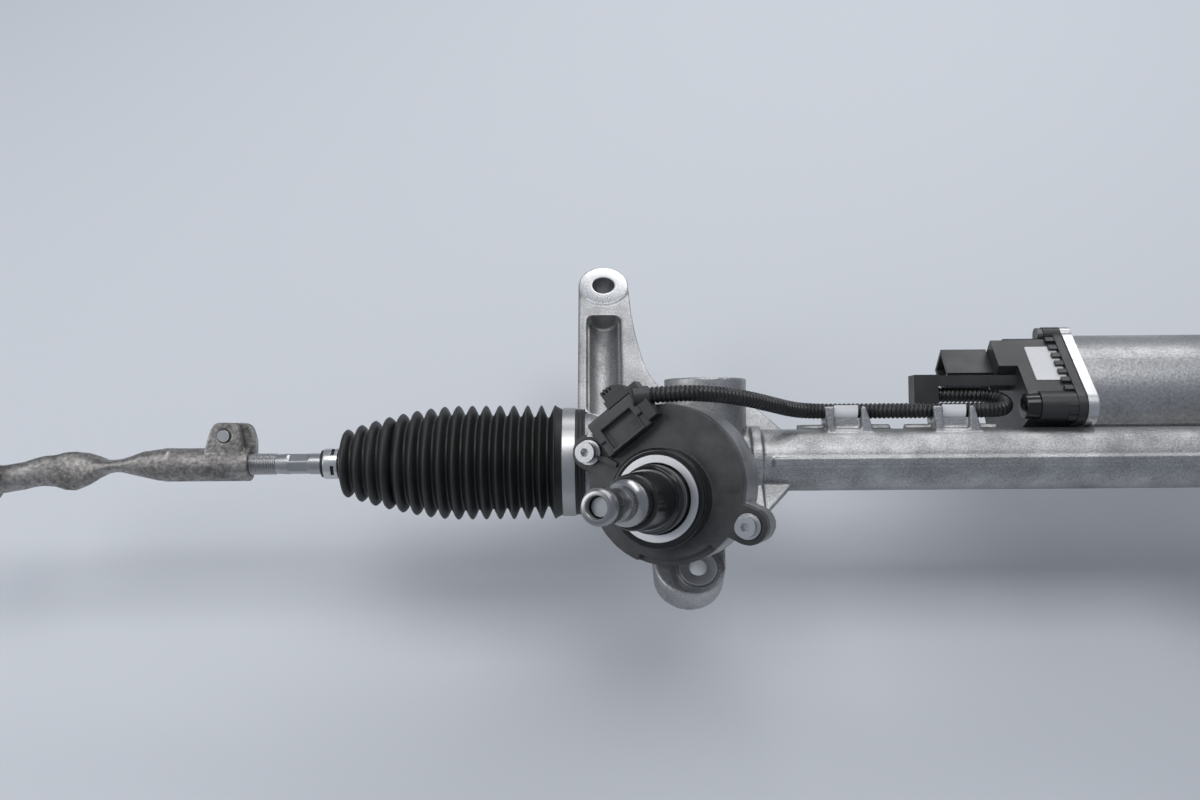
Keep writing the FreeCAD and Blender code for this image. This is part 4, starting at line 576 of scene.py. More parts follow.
def nurbs_points(name, points):
    """Points along the smooth line that has a route as its control points."""
    curve = bpy.data.curves.new(name, "CURVE")
    curve.dimensions = "3D"
    curve.resolution_u = 24
    spline = curve.splines.new("NURBS")
    spline.points.add(len(points) - 1)
    for point, place in zip(spline.points, points):
        point.co = (*place, 1)
    spline.order_u = 3
    spline.use_endpoint_u = True
    obj = bpy.data.objects.new(name, curve)
    bpy.context.scene.collection.objects.link(obj)
    bpy.context.view_layer.update()
    graph = bpy.context.evaluated_depsgraph_get()
    mesh = bpy.data.meshes.new_from_object(obj.evaluated_get(graph))
    line = [v.co.copy() for v in mesh.vertices]
    bpy.data.objects.remove(obj)
    bpy.data.meshes.remove(mesh)
    return line


def even(line, step):
    """The same line at even steps."""
    reach = [0.0]
    for a, b in zip(line, line[1:]):
        reach.append(reach[-1] + (b - a).length)
    count = round(reach[-1] / step)
    result = []
    i = 0
    for n in range(count + 1):
        want = reach[-1] * n / count
        while i < len(line) - 2 and reach[i + 1] < want:
            i += 1
        span = reach[i + 1] - reach[i]
        result.append(line[i].lerp(line[i + 1], (want - reach[i]) / span if span else 0))
    return result


def tube(name, line, radii, finish, body, sides=24):
    """A round tube along a line with a radius at each of its points, in metres."""
    verts, faces = [], []
    side = Vector((0, 0, 1))
    for i, centre in enumerate(line):
        ahead = line[min(i + 1, len(line) - 1)] - line[max(i - 1, 0)]
        ahead.normalize()
        side = (side - ahead * side.dot(ahead)).normalized()
        other = ahead.cross(side)
        for s in range(sides):
            a = 2 * math.pi * s / sides
            verts.append(centre + (side * math.cos(a) + other * math.sin(a)) * radii[i])
    for i in range(len(line) - 1):
        for s in range(sides):
            t = (s + 1) % sides
            faces.append((i * sides + s, i * sides + t, (i + 1) * sides + t, (i + 1) * sides + s))
    faces.append(tuple(range(sides))[::-1])
    last = (len(line) - 1) * sides
    faces.append(tuple(range(last, last + sides)))
    return piece(name, verts, faces, Matrix.Identity(4), finish, body)


def sensor_conduit():
    """The corrugated conduit, its ridges as even rounded waves."""
    line = even(nurbs_points("conduit_route", [lean_point(*p) for p in CONDUIT_ROUTE]), CONDUIT_STEP * MM)
    radii = []
    for i in range(len(line)):
        phase = (i * CONDUIT_STEP / CONDUIT_PITCH) % 1.0
        wave = 0.5 + 0.5 * math.cos(2 * math.pi * phase)
        radii.append((CONDUIT_VALLEY + CONDUIT_RIDGE * min(1.0, 1.5 * wave)) * MM)
    conduit = tube("conduit", line, radii, CONDUIT, "housing")
    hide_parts("sensor_conduit")


# Bellows

CRESTS = 16
SWING_CRESTS = 4
GROWING_CRESTS = 8
CREST_RADIUS = 38.0
CREST_GROWTH = 15.4
BELLOWS_WALL = 1.4
CUFF_RADIUS = 35.5
PITCH = (STOP_FACE_X - BELLOWS_END_X) / CRESTS
SPLIT_X = BELLOWS_END_X + PITCH * SWING_CRESTS


def crest_radius(crest):
    """The crests grow from the small end, quickly at first."""
    if crest >= GROWING_CRESTS:
        return CREST_RADIUS
    return CREST_RADIUS - CREST_GROWTH * (1 - crest / GROWING_CRESTS) ** 1.6


def fold_depth(crest):
    """The folds are shallow at the small end and deep at the housing."""
    return 3.6 + 0.36 * max(0, crest - 3)


def fold_line(first, last):
    """The skin's line over a run of crests, from valley to valley, as (x, radius, rounding)."""
    line = []
    for crest in range(first, last):
        radius = crest_radius(crest)
        sharp = min(1.0, fold_depth(crest) / 8)
        if crest > first:
            valley = crest_radius(crest - 1) - fold_depth(crest)
            line.append((BELLOWS_END_X + PITCH * (crest - 0.08), valley, 0.8))
            line.append((BELLOWS_END_X + PITCH * (crest + 0.08), valley, 0.8))
        shoulder = radius - 0.9 + 0.4 * sharp
        line.append((BELLOWS_END_X + PITCH * (crest + 0.2 + 0.22 * sharp), shoulder, 1.2))
        line.append((BELLOWS_END_X + PITCH * (crest + 0.5), radius + 0.5, 0.6))
        line.append((BELLOWS_END_X + PITCH * (crest + 0.8 - 0.22 * sharp), shoulder, 1.2))
    return line


def skin(line, head, tail):
    """A closed section: the outer line with its ends, then the same line a wall's thickness inside."""
    inner = [(x, radius - BELLOWS_WALL, rounding) for x, radius, rounding in line]
    return head[0] + line + tail[0] + tail[1] + inner[::-1] + head[1]


def bellows_parts():
    """The sections of the bellows' two parts: over the rack's travel, and over the tie rod's swing."""
    valley = crest_radius(SWING_CRESTS - 1) - fold_depth(SWING_CRESTS)
    seam = ([(SPLIT_X, valley, 0)], [(SPLIT_X, valley - BELLOWS_WALL, 0)])
    cuff_end = STOP_FACE_X + 15.5
    grooves = []
    for groove in (10.6, 13.2):
        x = STOP_FACE_X + groove
        for along, sink in ((0, 0), (0.3, 0.4), (0.8, 0.4), (1.1, 0)):
            grooves.append((x + along, CUFF_RADIUS - sink, 0.2))
    cuff = (
        [(STOP_FACE_X, CUFF_RADIUS, 0.8)] + grooves + [(cuff_end, CUFF_RADIUS, 0.6)],
        [(cuff_end, SEAT_RADIUS + 0.1, 0.2), (STOP_FACE_X + 0.5, SEAT_RADIUS + 0.1, 0.2)],
    )
    small_start = BELLOWS_END_X - 13
    small = (
        [(small_start, 9.2, 0.8), (BELLOWS_END_X - 0.6, 9.2, 0.8), (BELLOWS_END_X + 0.4, 14.0, 2.0)],
        [(BELLOWS_END_X + 1, 7.1, 0.2), (small_start, 7.1, 0.2)],
    )
    return skin(fold_line(SWING_CRESTS, CRESTS), seam, cuff), skin(fold_line(0, SWING_CRESTS), small, seam)


def put_bellows():
    """Both bellows, each turned in two parts: over the rack's travel, and over the tie rod's swing."""
    travel, swing = bellows_parts()
    for side in ("left", "right"):
        parts = (
            ("travel", travel, "housing", "rack", STOP_FACE_X + 3, SPLIT_X + 1),
            ("swing", swing, "rack", "tie_rod_" + side, SPLIT_X, BELLOWS_END_X + 5),
        )
        for part, section, near, far, start, end in parts:
            boot = lathe(f"bellows_{side}_{part}", section, end_place(side), RUBBER, None, 0.6, 120, 60)
            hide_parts("bellows_" + side)
            if side == "right":
                start, end = 2 * MIDDLE_X - start, 2 * MIDDLE_X - end
            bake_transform(boot)


# Castings and cover

TUBE_RADIUS = 20.75
TUBE_END_X = 366.0
SERVO_X = 372.0
TOWER_RADIUS = 50.0
LUG_RADIUS = 11.5
SCREW_ROOM_RADIUS = 8.1
COLLAR_RADIUS = 30.4
COLLAR_BORE_RADIUS = 26.8
COLLAR_HEIGHT = 13.9
NECK = 7.0
NECK_FILL = 1.5
RACK_BORE_RADIUS = 17.25
YOKE_BORE_RADIUS = 17.05
MAIN_BORE_RADIUS = 8.1
SLEEVE_BORE_RADIUS = 12.5
MOTOR_ROOM_RADIUS = 46.0
CABLE_ROOM_RADIUS = 6.45
CABLE_RISE = 32.7
YOKE = RACK @ Matrix.Translation((5, 0, 0)) @ turn("X", SHAFT_ROLL - 90)
YOKE_RADIUS = 27.5
YOKE_REACH = 55.0
ARM_X, ARM_Y = -62.9, 153.2
ARM_TOP = 8.0
ARM_RADIUS = 18.6
ARM_PLATE = 6.8
SLEEVE_X, SLEEVE_Y = -3.0, -71.0
LOWER_LUG = (-8.0, -66.7)
LOWER_LUG_TOP = -20.0
BRACKET_X = (99.0, 171.5)
BRACKET_TURN = BRACKET_LEAN - 90


def plate_outline(grow=0.0, steps=180):
    """The round plate with two screw lugs, their necks blended into the round."""
    outline = []
    for step in range(steps):
        a = 2 * math.pi * step / steps
        way = Vector((math.cos(a), math.sin(a)))
        reach = TOWER_RADIUS + grow
        for x, y in COVER_SCREWS:
            spot = Vector((x, y - TOWER_OFFSET))
            along = spot.dot(way)
            off = abs(spot.x * way.y - spot.y * way.x)
            size = LUG_RADIUS + grow
            lug = along + math.sqrt(size**2 - off**2) if off < size and along > 0 else 0
            neck = max(0.0, NECK - abs(reach - lug)) / NECK
            reach = max(reach, lug) + NECK_FILL * neck**2
        outline.append((way.x * reach, way.y * reach + TOWER_OFFSET, 0))
    return outline


def cylinder(name, radius, start, end, place, finish=CAST, steps=64):
    """A plain round solid along local Z, for joining or cutting."""
    outline = [(start, 0), (start, radius), (end, radius), (end, 0)]
    return lathe(name, outline, place, finish, None, 0, steps)


def block(name, low, high, place, finish=CAST):
    """A plain box between two corners, for joining or cutting."""
    outline = [(low[0], low[1]), (high[0], low[1]), (high[0], high[1]), (low[0], high[1])]
    return prism(name, outline, low[2], high[2], place, finish, None, 0, 0)


def arm_parts():
    """The long arm with its flare into the yoke boss, and the round boss at its end."""
    left = ARM_X - ARM_RADIUS
    outline = [
        (left, 24),
        (left, ARM_Y),
        (ARM_X + ARM_RADIUS, ARM_Y),
        (-42.6, 128),
        (-39.6, 104, 20),
        (-33.3, 74, 20),
        (-25, 59, 12),
        (-14, 55),
        (-14, 24),
    ]
    eye = RACK @ Matrix.Translation((ARM_X, ARM_Y, 0))
    return [
        prism("arm", outline, ARM_PLATE - 28, ARM_PLATE, RACK, CAST, None, 1, 0, 8),
        cylinder("boss", ARM_RADIUS, ARM_TOP - 34, ARM_TOP, eye),
    ]


def arm_cuts():
    """The pocket between the arm's ribs, its rounded floor and the main bore."""
    half = ARM_RADIUS - 6.2
    pocket = [(ARM_X - half, 36), (ARM_X + half, 36), (ARM_X + half, 125), (ARM_X - half, 125)]
    floor = RACK @ Matrix.Translation((ARM_X, 36, ARM_PLATE - 6)) @ turn("X", -90)
    eye = RACK @ Matrix.Translation((ARM_X, ARM_Y, 0))
    return [
        prism("pocket", pocket, ARM_PLATE - 7, ARM_PLATE + 20, RACK, CAST, None, 6, 0, 8),
        cylinder("channel", 10, 0, 89, floor),
        cylinder("main_bore", MAIN_BORE_RADIUS, -60, 40, eye),
    ]


def lug_parts():
    """The lug below the tower, its round end on straight sides."""
    x, y = LOWER_LUG
    low, high = LOWER_LUG_TOP - 22, LOWER_LUG_TOP
    sides = [(x - 26.4, 0), (x + 26.4, 0), (x + 23.4, y), (x - 23.4, y)]
    return [
        cylinder("lug_end", 23.4, low, high, RACK @ Matrix.Translation((x, y, 0))),
        prism("lug_sides", sides, low, high, RACK, CAST, None, 0, 0),
    ]


def bracket_parts(x):
    """One saddle for the cable clip with its two pads."""
    place = RACK @ Matrix.Translation((x, 0, 0)) @ turn("X", BRACKET_TURN)
    saddle = [(-12.5, 16), (18.5, 16), (12.5, 35.5), (-15.5, 35.5)]
    return [
        prism("saddle", saddle, -10, 10, place @ turn("X", 90), CAST, None, 0, 0),
        block("pad", (-31.5, 1.5, 17), (-13.5, 6.5, 23.75), place),
        block("pad", (13.5, 1.5, 17), (31.5, 6.5, 23.75), place),
    ]


def bracket_cuts(x):
    """The clip's channel and the open front between the saddle's cheeks."""
    place = RACK @ Matrix.Translation((x, 0, 0)) @ turn("X", BRACKET_TURN)
    cable = place @ Matrix.Translation((0, 0, CABLE_RISE)) @ turn("Y", 90)
    return [
        cylinder("channel", CABLE_ROOM_RADIUS, -40, 40, cable),
        block("mouth", (-40, -CABLE_ROOM_RADIUS, CABLE_RISE), (40, CABLE_ROOM_RADIUS, 60), place),
        block("recess", (-8.5, -12, 20.5), (9.5, -5, 60), place),
    ]


def main_casting():
    """The rack tube with the pinion tower, the arm, the lugs, the webs and the cable brackets."""
    tower = TOWER @ Matrix.Translation((0, TOWER_OFFSET, 0))
    drum = [(-14, 0), (-14, 33), (12, 33), (32, TOWER_RADIUS), (63, TOWER_RADIUS), (63, 0)]
    seat = [(STOP_FACE_X, 0), (STOP_FACE_X, SEAT_RADIUS), (STOP_FACE_X + 19, SEAT_RADIUS)]
    seat += [(STOP_FACE_X + 33, TUBE_RADIUS + 6), (STOP_FACE_X + 59, TUBE_RADIUS + 6), (STOP_FACE_X + 59, 0)]
    parts = [
        cylinder("tube", TUBE_RADIUS, STOP_FACE_X + 2, TUBE_END_X + 2, RACK_X),
        lathe("seat", seat, RACK_X, CAST, None, 2, 96),
        cylinder("flange", 34.75, TUBE_END_X - 8, SERVO_X, RACK_X),
        cylinder("yoke_boss", YOKE_RADIUS, 0, YOKE_REACH, YOKE),
        lathe("tower", drum, tower, CAST, None, 3, 128),
        cylinder("foot", 21, -48, 0, TOWER),
        prism("head", plate_outline(), 47, 62.9, TOWER, CAST, None, 0, 0, 1),
        block("rib", (48, -2.85, 18), (TUBE_END_X, 2.85, 22.2), RACK @ turn("X", 38)),
        lathe("band", [(34, 18), (34, 23.3), (41, 23.3), (41, 18)], RACK_X, CAST, None, 0, 96),
        block("band_foot", (34, -46, -2.6), (41, -18, 5), RACK),
    ]
    for side in (-1, 1):
        web = [(20, 0), (64, side * 17.7), (39.5, side * 46), (20, side * 46)]
        parts.append(prism("web", web, -2.5, 2.5, RACK, CAST, None, 0, 0))
    parts += arm_parts() + lug_parts()
    for x in BRACKET_X:
        parts += bracket_parts(x)
    bores = [(-49, 0), (-49, 16), (-38, 16), (-38, 11), (-21, 11), (-21, 14), (26, 14), (26, 21), (40, 21)]
    bores += [(40, 25), (64, 25), (64, 0)]
    cuff = [(STOP_FACE_X - 5, SEAT_RADIUS), (STOP_FACE_X - 5, 37.6), (STOP_FACE_X + 16.5, 37.6)]
    cuff += [(STOP_FACE_X + 16.5, SEAT_RADIUS)]
    sleeve = RACK @ Matrix.Translation((SLEEVE_X, SLEEVE_Y, 0))
    motor = MOTOR @ turn("Y", 90)
    cutters = [
        cylinder("rack_bore", RACK_BORE_RADIUS, STOP_FACE_X - 5, SERVO_X + 5, RACK_X),
        lathe("cuff_room", cuff, RACK_X, CAST, None, 0, 96),
        cylinder("yoke_bore", YOKE_BORE_RADIUS, 0, YOKE_REACH + 5, YOKE),
        lathe("tower_bores", bores, TOWER, CAST, None, 0, 96),
        cylinder("sleeve_bore", SLEEVE_BORE_RADIUS, -60, 0, sleeve),
        cylinder("spot_face", 17.5, LOWER_LUG_TOP - 1, LOWER_LUG_TOP + 5, sleeve),
        cylinder("motor_room", MOTOR_ROOM_RADIUS, 259, SERVO_X + 5, motor),
    ]
    cutters += arm_cuts()
    for x in BRACKET_X:
        cutters += bracket_cuts(x)
    casting = weld("main_casting", parts, cutters, 0.9, 3, CAST)
    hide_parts("pinion_housing")


def machined_faces():
    """The flat turned face round the main bore."""
    eye = RACK @ Matrix.Translation((ARM_X, ARM_Y, ARM_TOP))
    inner = MAIN_BORE_RADIUS + 0.3
    face = [(-0.6, inner), (0.1, inner), (0.15, 9.0), (0.15, ARM_RADIUS - 0.9), (-0.6, ARM_RADIUS - 0.5)]
    lathe("boss_face", face, eye, FACED, "housing", 0.1, 96)


def moulded_cover():
    """The sensor cover with its lugs, collar, plug socket and rim step."""
    low, high = TOWER_TOP, COVER_TOP
    step = []
    for radius, turns in ((TOWER_RADIUS - 4, range(-111, -48, 3)), (TOWER_RADIUS + 6, range(-51, -112, -3))):
        for a in turns:
            angle = math.radians(a)
            step.append((radius * math.cos(angle), radius * math.sin(angle) + TOWER_OFFSET))
    parts = [
        prism("plate", plate_outline(0.2), low, high, TOWER, COVER, None, 0, 0, 1),
        cylinder("collar", COLLAR_RADIUS, low, high + COLLAR_HEIGHT, TOWER, COVER, 96),
        block("socket", (-17.45, -11.85, -3), (17.45, 11.4, 10), SOCKET, COVER),
        block("socket_base", (-18.3, -11.85, -3), (17.45, 13.6, 6), SOCKET, COVER),
    ]
    cutters = [
        cylinder("bore", COLLAR_BORE_RADIUS, low - 5, high + 30, TOWER, COVER, 96),
        prism("rim_step", step, high - 4, high + 5, TOWER, COVER, None, 0, 0),
        block("window", (-11.9, -10.1, 5), (11.9, 4.3, 20), SOCKET, COVER),
        block("left_step", (-30, -20, 8.2), (-12.9, -2.6, 20), SOCKET, COVER),
        block("right_step", (12.9, -20, 8.2), (30, -2.9, 20), SOCKET, COVER),
    ]
    for x, y in COVER_SCREWS:
        screw = TOWER @ Matrix.Translation((x, y, 0))
        cutters.append(cylinder("screw", SCREW_ROOM_RADIUS, low - 5, high + 5, screw, COVER, 48))
    cover = weld("moulded_cover", parts, cutters, 0.5, 1, COVER)
    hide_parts("sensor_cover")
    rib = [(-44, 26), (-37.2, 25.2), (-30.2, 21.2), (-31.5, 18.6), (-44, 23.5)]
    prism("cover_rib", rib, high, high + 2.2, TOWER, COVER, "housing", 0.3, 0.3)
    mark = [(-50.0, 41.1), (-51.7, 37.9), (-47.1, 37.9)]
    prism("cover_mark", mark, high, high + 0.4, TOWER, WHITE, "housing", 0.1, 0)


def plug_lever():
    """The ribbed lever over the plug."""
    arch = [(0.8, 13.6), (0.8, 23.4, 0.5), (3, 24.6, 1), (9.5, 24.2, 5), (16.4, 19.4, 4), (18.2, 13.6)]
    parts = [prism("lever", arch, 1, 8, SOCKET, PLASTIC, None, 0.5, 0)]
    cutters = []
    for x in (2.4, 5.0, 7.6):
        cutters.append(block("groove", (x, 21.0, 5.5), (x + 1.2, 30, 20), SOCKET, PLASTIC))
    lever = weld("plug_lever", parts, cutters, 0.35, 1, PLASTIC)
    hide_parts("plug_latch")


# Control unit

# The unit's own frame: its axis runs along the motor's, so the axes are swapped round.
UNIT = MOTOR @ turn("X", -8) @ Matrix.Rotation(math.radians(120), 4, (1, 1, 1))
UNIT_TOP = 39.0
UNIT_LIP_X = 253.0
UNIT_CORNER = (-41.0, 30.5)
UNIT_CORNER_RADIUS = 8.5
UNIT_ROUND = 39.0


def unit_rim():
    """Places along the control unit's outline, each with its outward turn in degrees."""
    x, y = UNIT_CORNER
    places = [(a, UNIT_TOP, 90) for a in range(15, -41, -8)]
    for turn_angle in (120, 150, 180):
        a = math.radians(turn_angle)
        spot = (x + UNIT_CORNER_RADIUS * math.cos(a), y + UNIT_CORNER_RADIUS * math.sin(a))
        places.append((*spot, turn_angle))
    for turn_angle in (186, 198, 210, 222):
        a = math.radians(turn_angle)
        places.append((UNIT_ROUND * math.cos(a) - 6, UNIT_ROUND * math.sin(a), turn_angle))
    return places


def unit_details():
    """The blank plate, the clip teeth along the lip and the capacitor's end."""
    plate = [(-24.0, 231.0), (9.3, 231.0), (9.3, 252.4), (-24.0, 252.4)]
    top = UNIT @ Matrix.Translation((0, UNIT_TOP, 0)) @ turn("X", 90)
    label = prism("blank_plate", plate, -0.35, 0.02, top, LABEL, "housing", 1.2, 0)
    for number, (a, b, angle) in enumerate(unit_rim()):
        spot = UNIT @ Matrix.Translation((a, b, UNIT_LIP_X - 6)) @ turn("Z", angle)
        tooth = box(f"lip_tooth_{number}", (4.4, 4.2, 6.4), (0.2, 0, 0), spot, PLASTIC, "housing", 0.4)
    barrel = RACK @ Matrix.Translation((0, 28.0, 21.1)) @ turn("Y", 90)
    cap = [(219.5, 0), (219.5, 8.4), (227.5, 9.2), (229.5, 9.2), (229.5, 0)]
    end = lathe("capacitor_end", cap, barrel, GLOSSY, "housing", 0.8, 64)


# Steering shaft

SPLINE_TEETH = 54
SPLINE_RADIUS = 10.4
SPLINE_DEPTH = 1.1
SLEEVE_FOOT_RADIUS = 20.9
GROOVE_DEPTH = 0.4


def steering_shaft():
    """The splined input shaft with its collar, and the moulded boot below it."""
    outline = [
        (70, 5.6),
        (70, 12),
        (131, 12),
        (131, 13.2),
        (131.4, 13.5),
        (138.6, 13.5),
        (139.3, 12.8),
        (140.2, 12.2),
        (143.4, 9.6),
        (144.4, 9.6),
        (145, SPLINE_RADIUS, SPLINE_DEPTH),
        (153, SPLINE_RADIUS, SPLINE_DEPTH),
        (153.8, 9.4),
        (154.6, 9.2),
        (165.4, 9.2),
        (166.2, 9.4),
        (167, SPLINE_RADIUS, SPLINE_DEPTH),
        (175, SPLINE_RADIUS, SPLINE_DEPTH),
        (175.7, 10.3),
        (180, 10.3),
        (180.5, 10.1),
        (182.3, 9.1),
        (182.5, 8.8),
        (182.5, 6.6),
        (182.1, 6.2),
        (170.6, 6.1),
        (170.5, 5.6),
    ]
    shaft = toothed("input_splines", outline, SPLINE_TEETH, TOWER, SHAFT, "steering_shaft")
    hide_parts("input_shaft")
    line = [(83, 12.1), (83, SLEEVE_FOOT_RADIUS)]
    for groove in (86, 94):
        for along, sink in ((0, 0), (0.3, GROOVE_DEPTH), (0.7, GROOVE_DEPTH), (1, 0)):
            line.append((groove + along, SLEEVE_FOOT_RADIUS - sink, 0.1))
    line += [(97, SLEEVE_FOOT_RADIUS, 0.8), (98.4, 19.2, 0.8), (100, 18.6, 1.0)]
    line += [(129.6, 16.4, 0.8), (131, 15.2, 0.4), (131, 12.1)]
    boot = lathe("shaft_sleeve", line, TOWER, GLOSSY, "steering_shaft", 0.3, 128)
    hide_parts("shaft_boot")


def cover_collar():
    """The glossy rim round the cover's collar."""
    foot, top = COVER_TOP + 0.2, COVER_TOP + COLLAR_HEIGHT
    inner, outer = COLLAR_RADIUS - 0.05, COLLAR_RADIUS + 0.5
    line = [(foot, inner), (foot, outer), (top - 0.7, outer, 0.8), (top + 0.4, COLLAR_RADIUS - 0.8, 0.8)]
    line += [(top + 0.4, COLLAR_BORE_RADIUS), (top, COLLAR_BORE_RADIUS), (top, inner)]
    collar = lathe("cover_collar", line, TOWER, GLOSSY, "housing", 0.3, 128)


# Tie rods

# The turn about the rack that faces the camera, for the rods' flats.
VIEW_SIDE = 127.0
ROD_RADIUS = 7.0
FLAT_RUN = 1.6
FLAT_DEPTH = 0.65
NECK_END_X = -287.6
NECK_RADIUS = 6.3
TAIL_X = -208.0
TAIL_RADIUS = 6.0
HEX_START_X = -276.4
HEX_END_X = -261.0
SLEEVE_END_X = -301.5
SLEEVE_START_X = -360.0
SLEEVE_RADIUS = 11.3
BALL_X = -492.0
BALL_DROP = -10.0
CLAMP_X = (-251.4, -241.8)
CLAMP_RADII = (9.25, 10.3)
ROD_BORE_RADIUS = 7.45
PINCH_X = -317.5
PINCH_HEIGHT = 19.0
PINCH_HOLE_RADIUS = 4.05

# The forged bar from the sleeve to the ball: place, centre, height seen from the front, depth.
FORGED_BAR = (
    (-355.0, 0.0, 22.6, 22.6),
    (-363.0, 0.0, 21.1, 22.4),
    (-373.0, 0.5, 17.5, 22.3),
    (-380.5, 0.0, 13.0, 22.3),
    (-387.0, -0.2, 9.3, 22.6),
    (-392.5, -0.4, 8.4, 22.8),
    (-398.5, -1.0, 9.5, 22.5),
    (-404.5, -1.3, 15.4, 19.5),
    (-410.5, -2.3, 21.4, 15.5),
    (-419.5, -3.6, 26.2, 12.5),
    (-426.0, -3.6, 25.5, 12.8),
    (-433.0, -3.4, 21.4, 13.8),
    (-441.0, -3.4, 20.2, 14.5),
    (-448.0, -4.8, 19.2, 15.2),
    (-454.0, -6.5, 18.7, 16.0),
    (-466.0, -8.5, 18.7, 17.0),
    (-480.0, -10.0, 20.0, 18.0),
)


def forged_ring(x, centre, height, depth, steps=48):
    """One section of the forged bar, an oval with fuller corners."""
    ring = []
    for step in range(steps):
        a = 2 * math.pi * step / steps
        c, d = math.cos(a), math.sin(a)
        y = math.copysign(abs(c) ** 0.8, c) * height / 2
        z = math.copysign(abs(d) ** 0.8, d) * depth / 2
        ring.append((x, centre + y, z))
    return ring


def rod_end(side):
    """The forged outer end with its pinch lug, split sleeve and ball housing."""
    frame_place = end_frame(side)
    lathe_place = end_place(side)
    rod_place = frame_place @ turn("X", SHAFT_ROLL)
    body = "tie_rod_" + side
    ball_place = rod_place @ Matrix.Translation((BALL_X, BALL_DROP, 0)) @ turn("X", -SHAFT_ROLL)
    sleeve = [(SLEEVE_START_X, 0), (SLEEVE_START_X, SLEEVE_RADIUS)]
    sleeve += [(SLEEVE_END_X, SLEEVE_RADIUS), (SLEEVE_END_X, 0)]
    front = [(-331, 0), (-331, 8), (-328, 19, 9), (-324.5, 28.0, 7), (-308.5, 28.0, 6), (-306, 16), (-305, 0)]
    back = [(-331, 0), (-331, 8), (-328, 19, 9), (-324.5, 28.0, 7), (-302.5, 28.0, 6), (-299, 16), (-299, 0)]
    puck = [(-14, 0), (-14, 17), (-9, 21.5), (10, 22), (13, 20.5), (13, 0)]
    parts = [
        lathe("sleeve", sleeve, lathe_place, FORGED, None, 1.0, 64),
        prism("front_lug", front, -1, 8.5, rod_place, FORGED, None, 2.5, 0),
        prism("back_lug", back, -8.5, 1, rod_place, FORGED, None, 2.5, 0),
        loft("bar", [forged_ring(*section) for section in FORGED_BAR], rod_place, FORGED, None),
        lathe("puck", puck, ball_place, FORGED, None, 2.0, 64),
    ]
    ball = [(-13.2, 0), (-9.3, 9.3), (0, 13.2), (1, 13.2), (14, 18), (14, 0)]
    bore = [(-345, 0), (-345, ROD_BORE_RADIUS), (SLEEVE_END_X + 1, ROD_BORE_RADIUS), (SLEEVE_END_X + 1, 0)]
    sink = [(7.6, 0), (7.6, 4.4), (9.4, 5.8), (9.4, 0)]
    hole = [(-10, 0), (-10, PINCH_HOLE_RADIUS), (10, PINCH_HOLE_RADIUS), (10, 0)]
    bolt_place = rod_place @ Matrix.Translation((PINCH_X, PINCH_HEIGHT, 0))
    cutters = [
        box("slot", (60, 40, 2.4), (-322, 20, -1.2), rod_place, FORGED, None, 0),
        lathe("ball_room", ball, ball_place, FORGED, None, 0.2, 48),
        lathe("bore", bore, lathe_place, FORGED, None, 0.1, 48),
        lathe("sink", sink, bolt_place, FORGED, None, 0.1, 32),
        lathe("hole", hole, bolt_place, FORGED, None, 0.1, 32),
    ]
    end = weld("forged_end_" + side, parts, cutters, 0.6, 3, FORGED, body)
    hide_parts("rod_end_" + side)


def rod_radius(x, angle):
    """The tie rod's radius: round, with six flats at the hexagon."""
    if x < HEX_START_X or x > HEX_END_X:
        return ROD_RADIUS
    rise = min(1.0, (x - HEX_START_X) / FLAT_RUN, (HEX_END_X - x) / FLAT_RUN)
    flat = ROD_RADIUS - FLAT_DEPTH * rise
    off = (angle + 30) % 60 - 30
    return min(ROD_RADIUS, flat / math.cos(math.radians(off)))


def tie_rods():
    """The rods with their flats, threads and slotted clamps, and the forged ends."""
    for side in ("left", "right"):
        place = end_place(side)
        body = "tie_rod_" + side
        stops = [-340.0, NECK_END_X - 0.6, NECK_END_X, HEX_START_X - 0.1]
        stops += [HEX_START_X + along for along in (0, 0.4, 0.9, FLAT_RUN)]
        stops += [HEX_END_X - along for along in (FLAT_RUN, 0.9, 0.4, 0)]
        stops += [HEX_END_X + 0.1, TAIL_X - 4, TAIL_X]
        rings = []
        for x in stops:
            ring = []
            for step in range(96):
                angle = step * 3.75
                r = rod_radius(x, angle + VIEW_SIDE - 30)
                if x <= NECK_END_X:
                    r = NECK_RADIUS
                if x == TAIL_X:
                    r = TAIL_RADIUS
                ring.append((x, r * math.cos(math.radians(angle)), r * math.sin(math.radians(angle))))
            rings.append(ring)
        rings.append([(INNER_BALL_X, y * 0.999, z * 0.999) for _, y, z in rings[-1]])
        rod = loft("rod_" + side, rings, end_frame(side), GREY_STEEL, body)
        rod.data.set_sharp_from_angle(angle=math.radians(9))
        ball = lathe("rod_ball_" + side, round_outline(INNER_BALL_X, 14.0), place, STEEL, body, 0, 64)
        for part in (rod, ball):
            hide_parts("tie_rod_" + side)
        thread = threaded("thread_" + side, -304.5, -283.8, 7.35, 1.5, place, GREY_STEEL, body)
        small_clamp(side, place, body)
        rod_end(side)
        dust_cover(side)


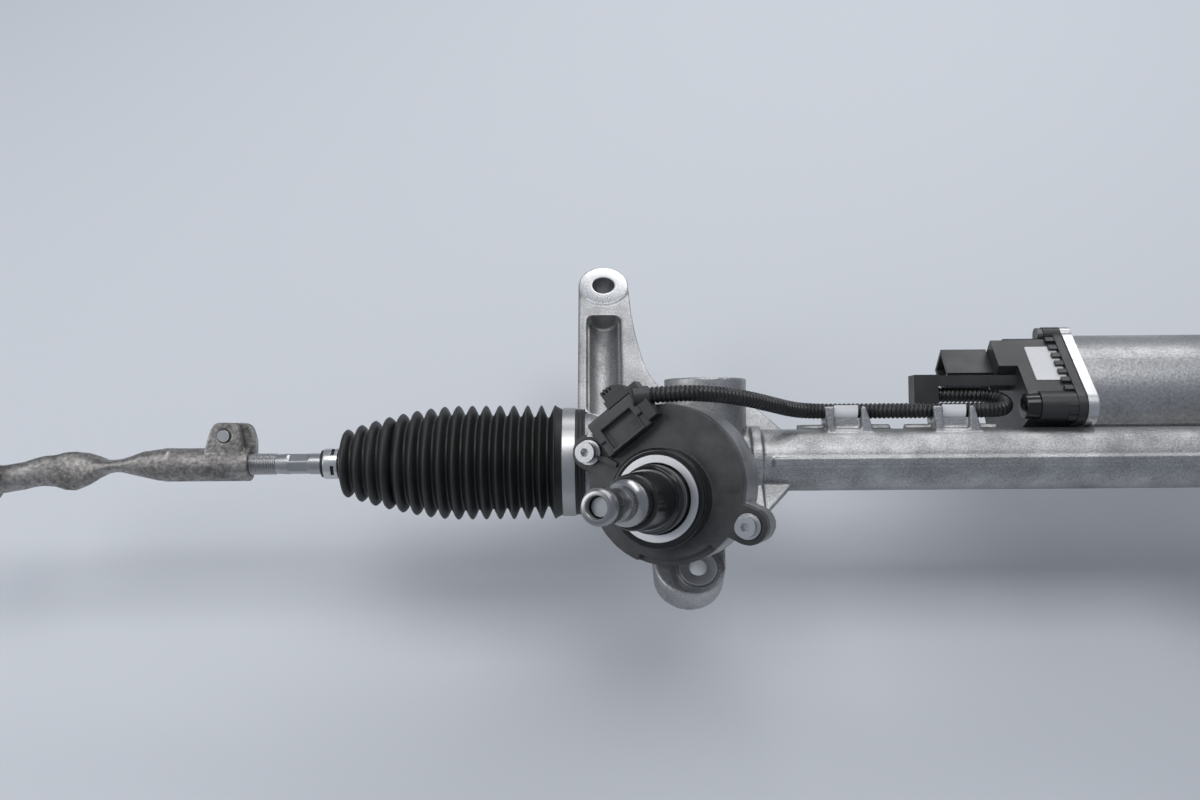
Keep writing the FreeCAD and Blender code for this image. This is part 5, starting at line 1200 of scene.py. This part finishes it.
def round_outline(x, radius, steps=24):
    """Half a circle about a point of the axis, as (height, radius) pairs."""
    turns = [math.pi * step / steps for step in range(steps + 1)]
    return [(x - radius * math.cos(a), radius * math.sin(a)) for a in turns]


def small_clamp(side, place, body):
    """The slotted band on the bellows' small end."""
    start, end = CLAMP_X
    inner, outer = CLAMP_RADII
    band = [(start, inner), (start, outer), (end, outer), (end, inner)]
    clamp = lathe("clamp_band_" + side, band, place, ZINC, body, 0.3, 96)
    slots = []
    for angle in (70, 153, 250):
        spot = place @ turn("Z", angle + 90)
        slots.append(box("slot", (4, 7, 2.2), (9.9, 0, -246.2), spot, ZINC, None, 0))
    cut(clamp, *slots)
    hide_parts("small_clamp_" + side)


def dust_cover(side):
    """The rubber cover on a ball stud."""
    low, high = (Vector(corner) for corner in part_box("dust_boot_" + side))
    middle = (low + high) / 2
    wide = (high.x - low.x) / 2 / MM
    tall = (high.z - low.z) / MM
    outer = [(0.2, wide - 1.2, 0.3), (2.0, wide - 0.9, 0.4), (2.4, wide - 2.0, 0.2), (3.2, wide - 2.0, 0.2)]
    outer += [(5.6, wide, 2.0), (8.6, wide - 4.5, 2.0), (tall - 2.6, 10.6, 1.0), (tall - 2.2, 9.7, 0.3)]
    outer += [(tall - 1.0, 9.7, 0.3), (tall - 0.8, 10.4, 0.3), (tall, 10.4, 0.4)]
    inner = [(tall, 7.9, 0.2), (tall - 2.8, 8.6, 0.6), (7.8, wide - 6.4, 2.0), (5.0, wide - 2.2, 1.0)]
    inner += [(0.2, wide - 3.0, 0.2)]
    place = Matrix.Translation((middle.x, middle.y, low.z)) @ Matrix.Scale(MM, 4)
    cover = lathe("dust_cover_" + side, outer + inner, place, RUBBER, None, 0.3, 96, 60)
    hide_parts("dust_boot_" + side)
    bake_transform(cover)


finish_nodes()
set_camera()
set_floor()
set_light()
sensor_conduit()
put_bellows()
steering_shaft()
cover_collar()
tie_rods()
main_casting()
machined_faces()
moulded_cover()
unit_details()
plug_lever()
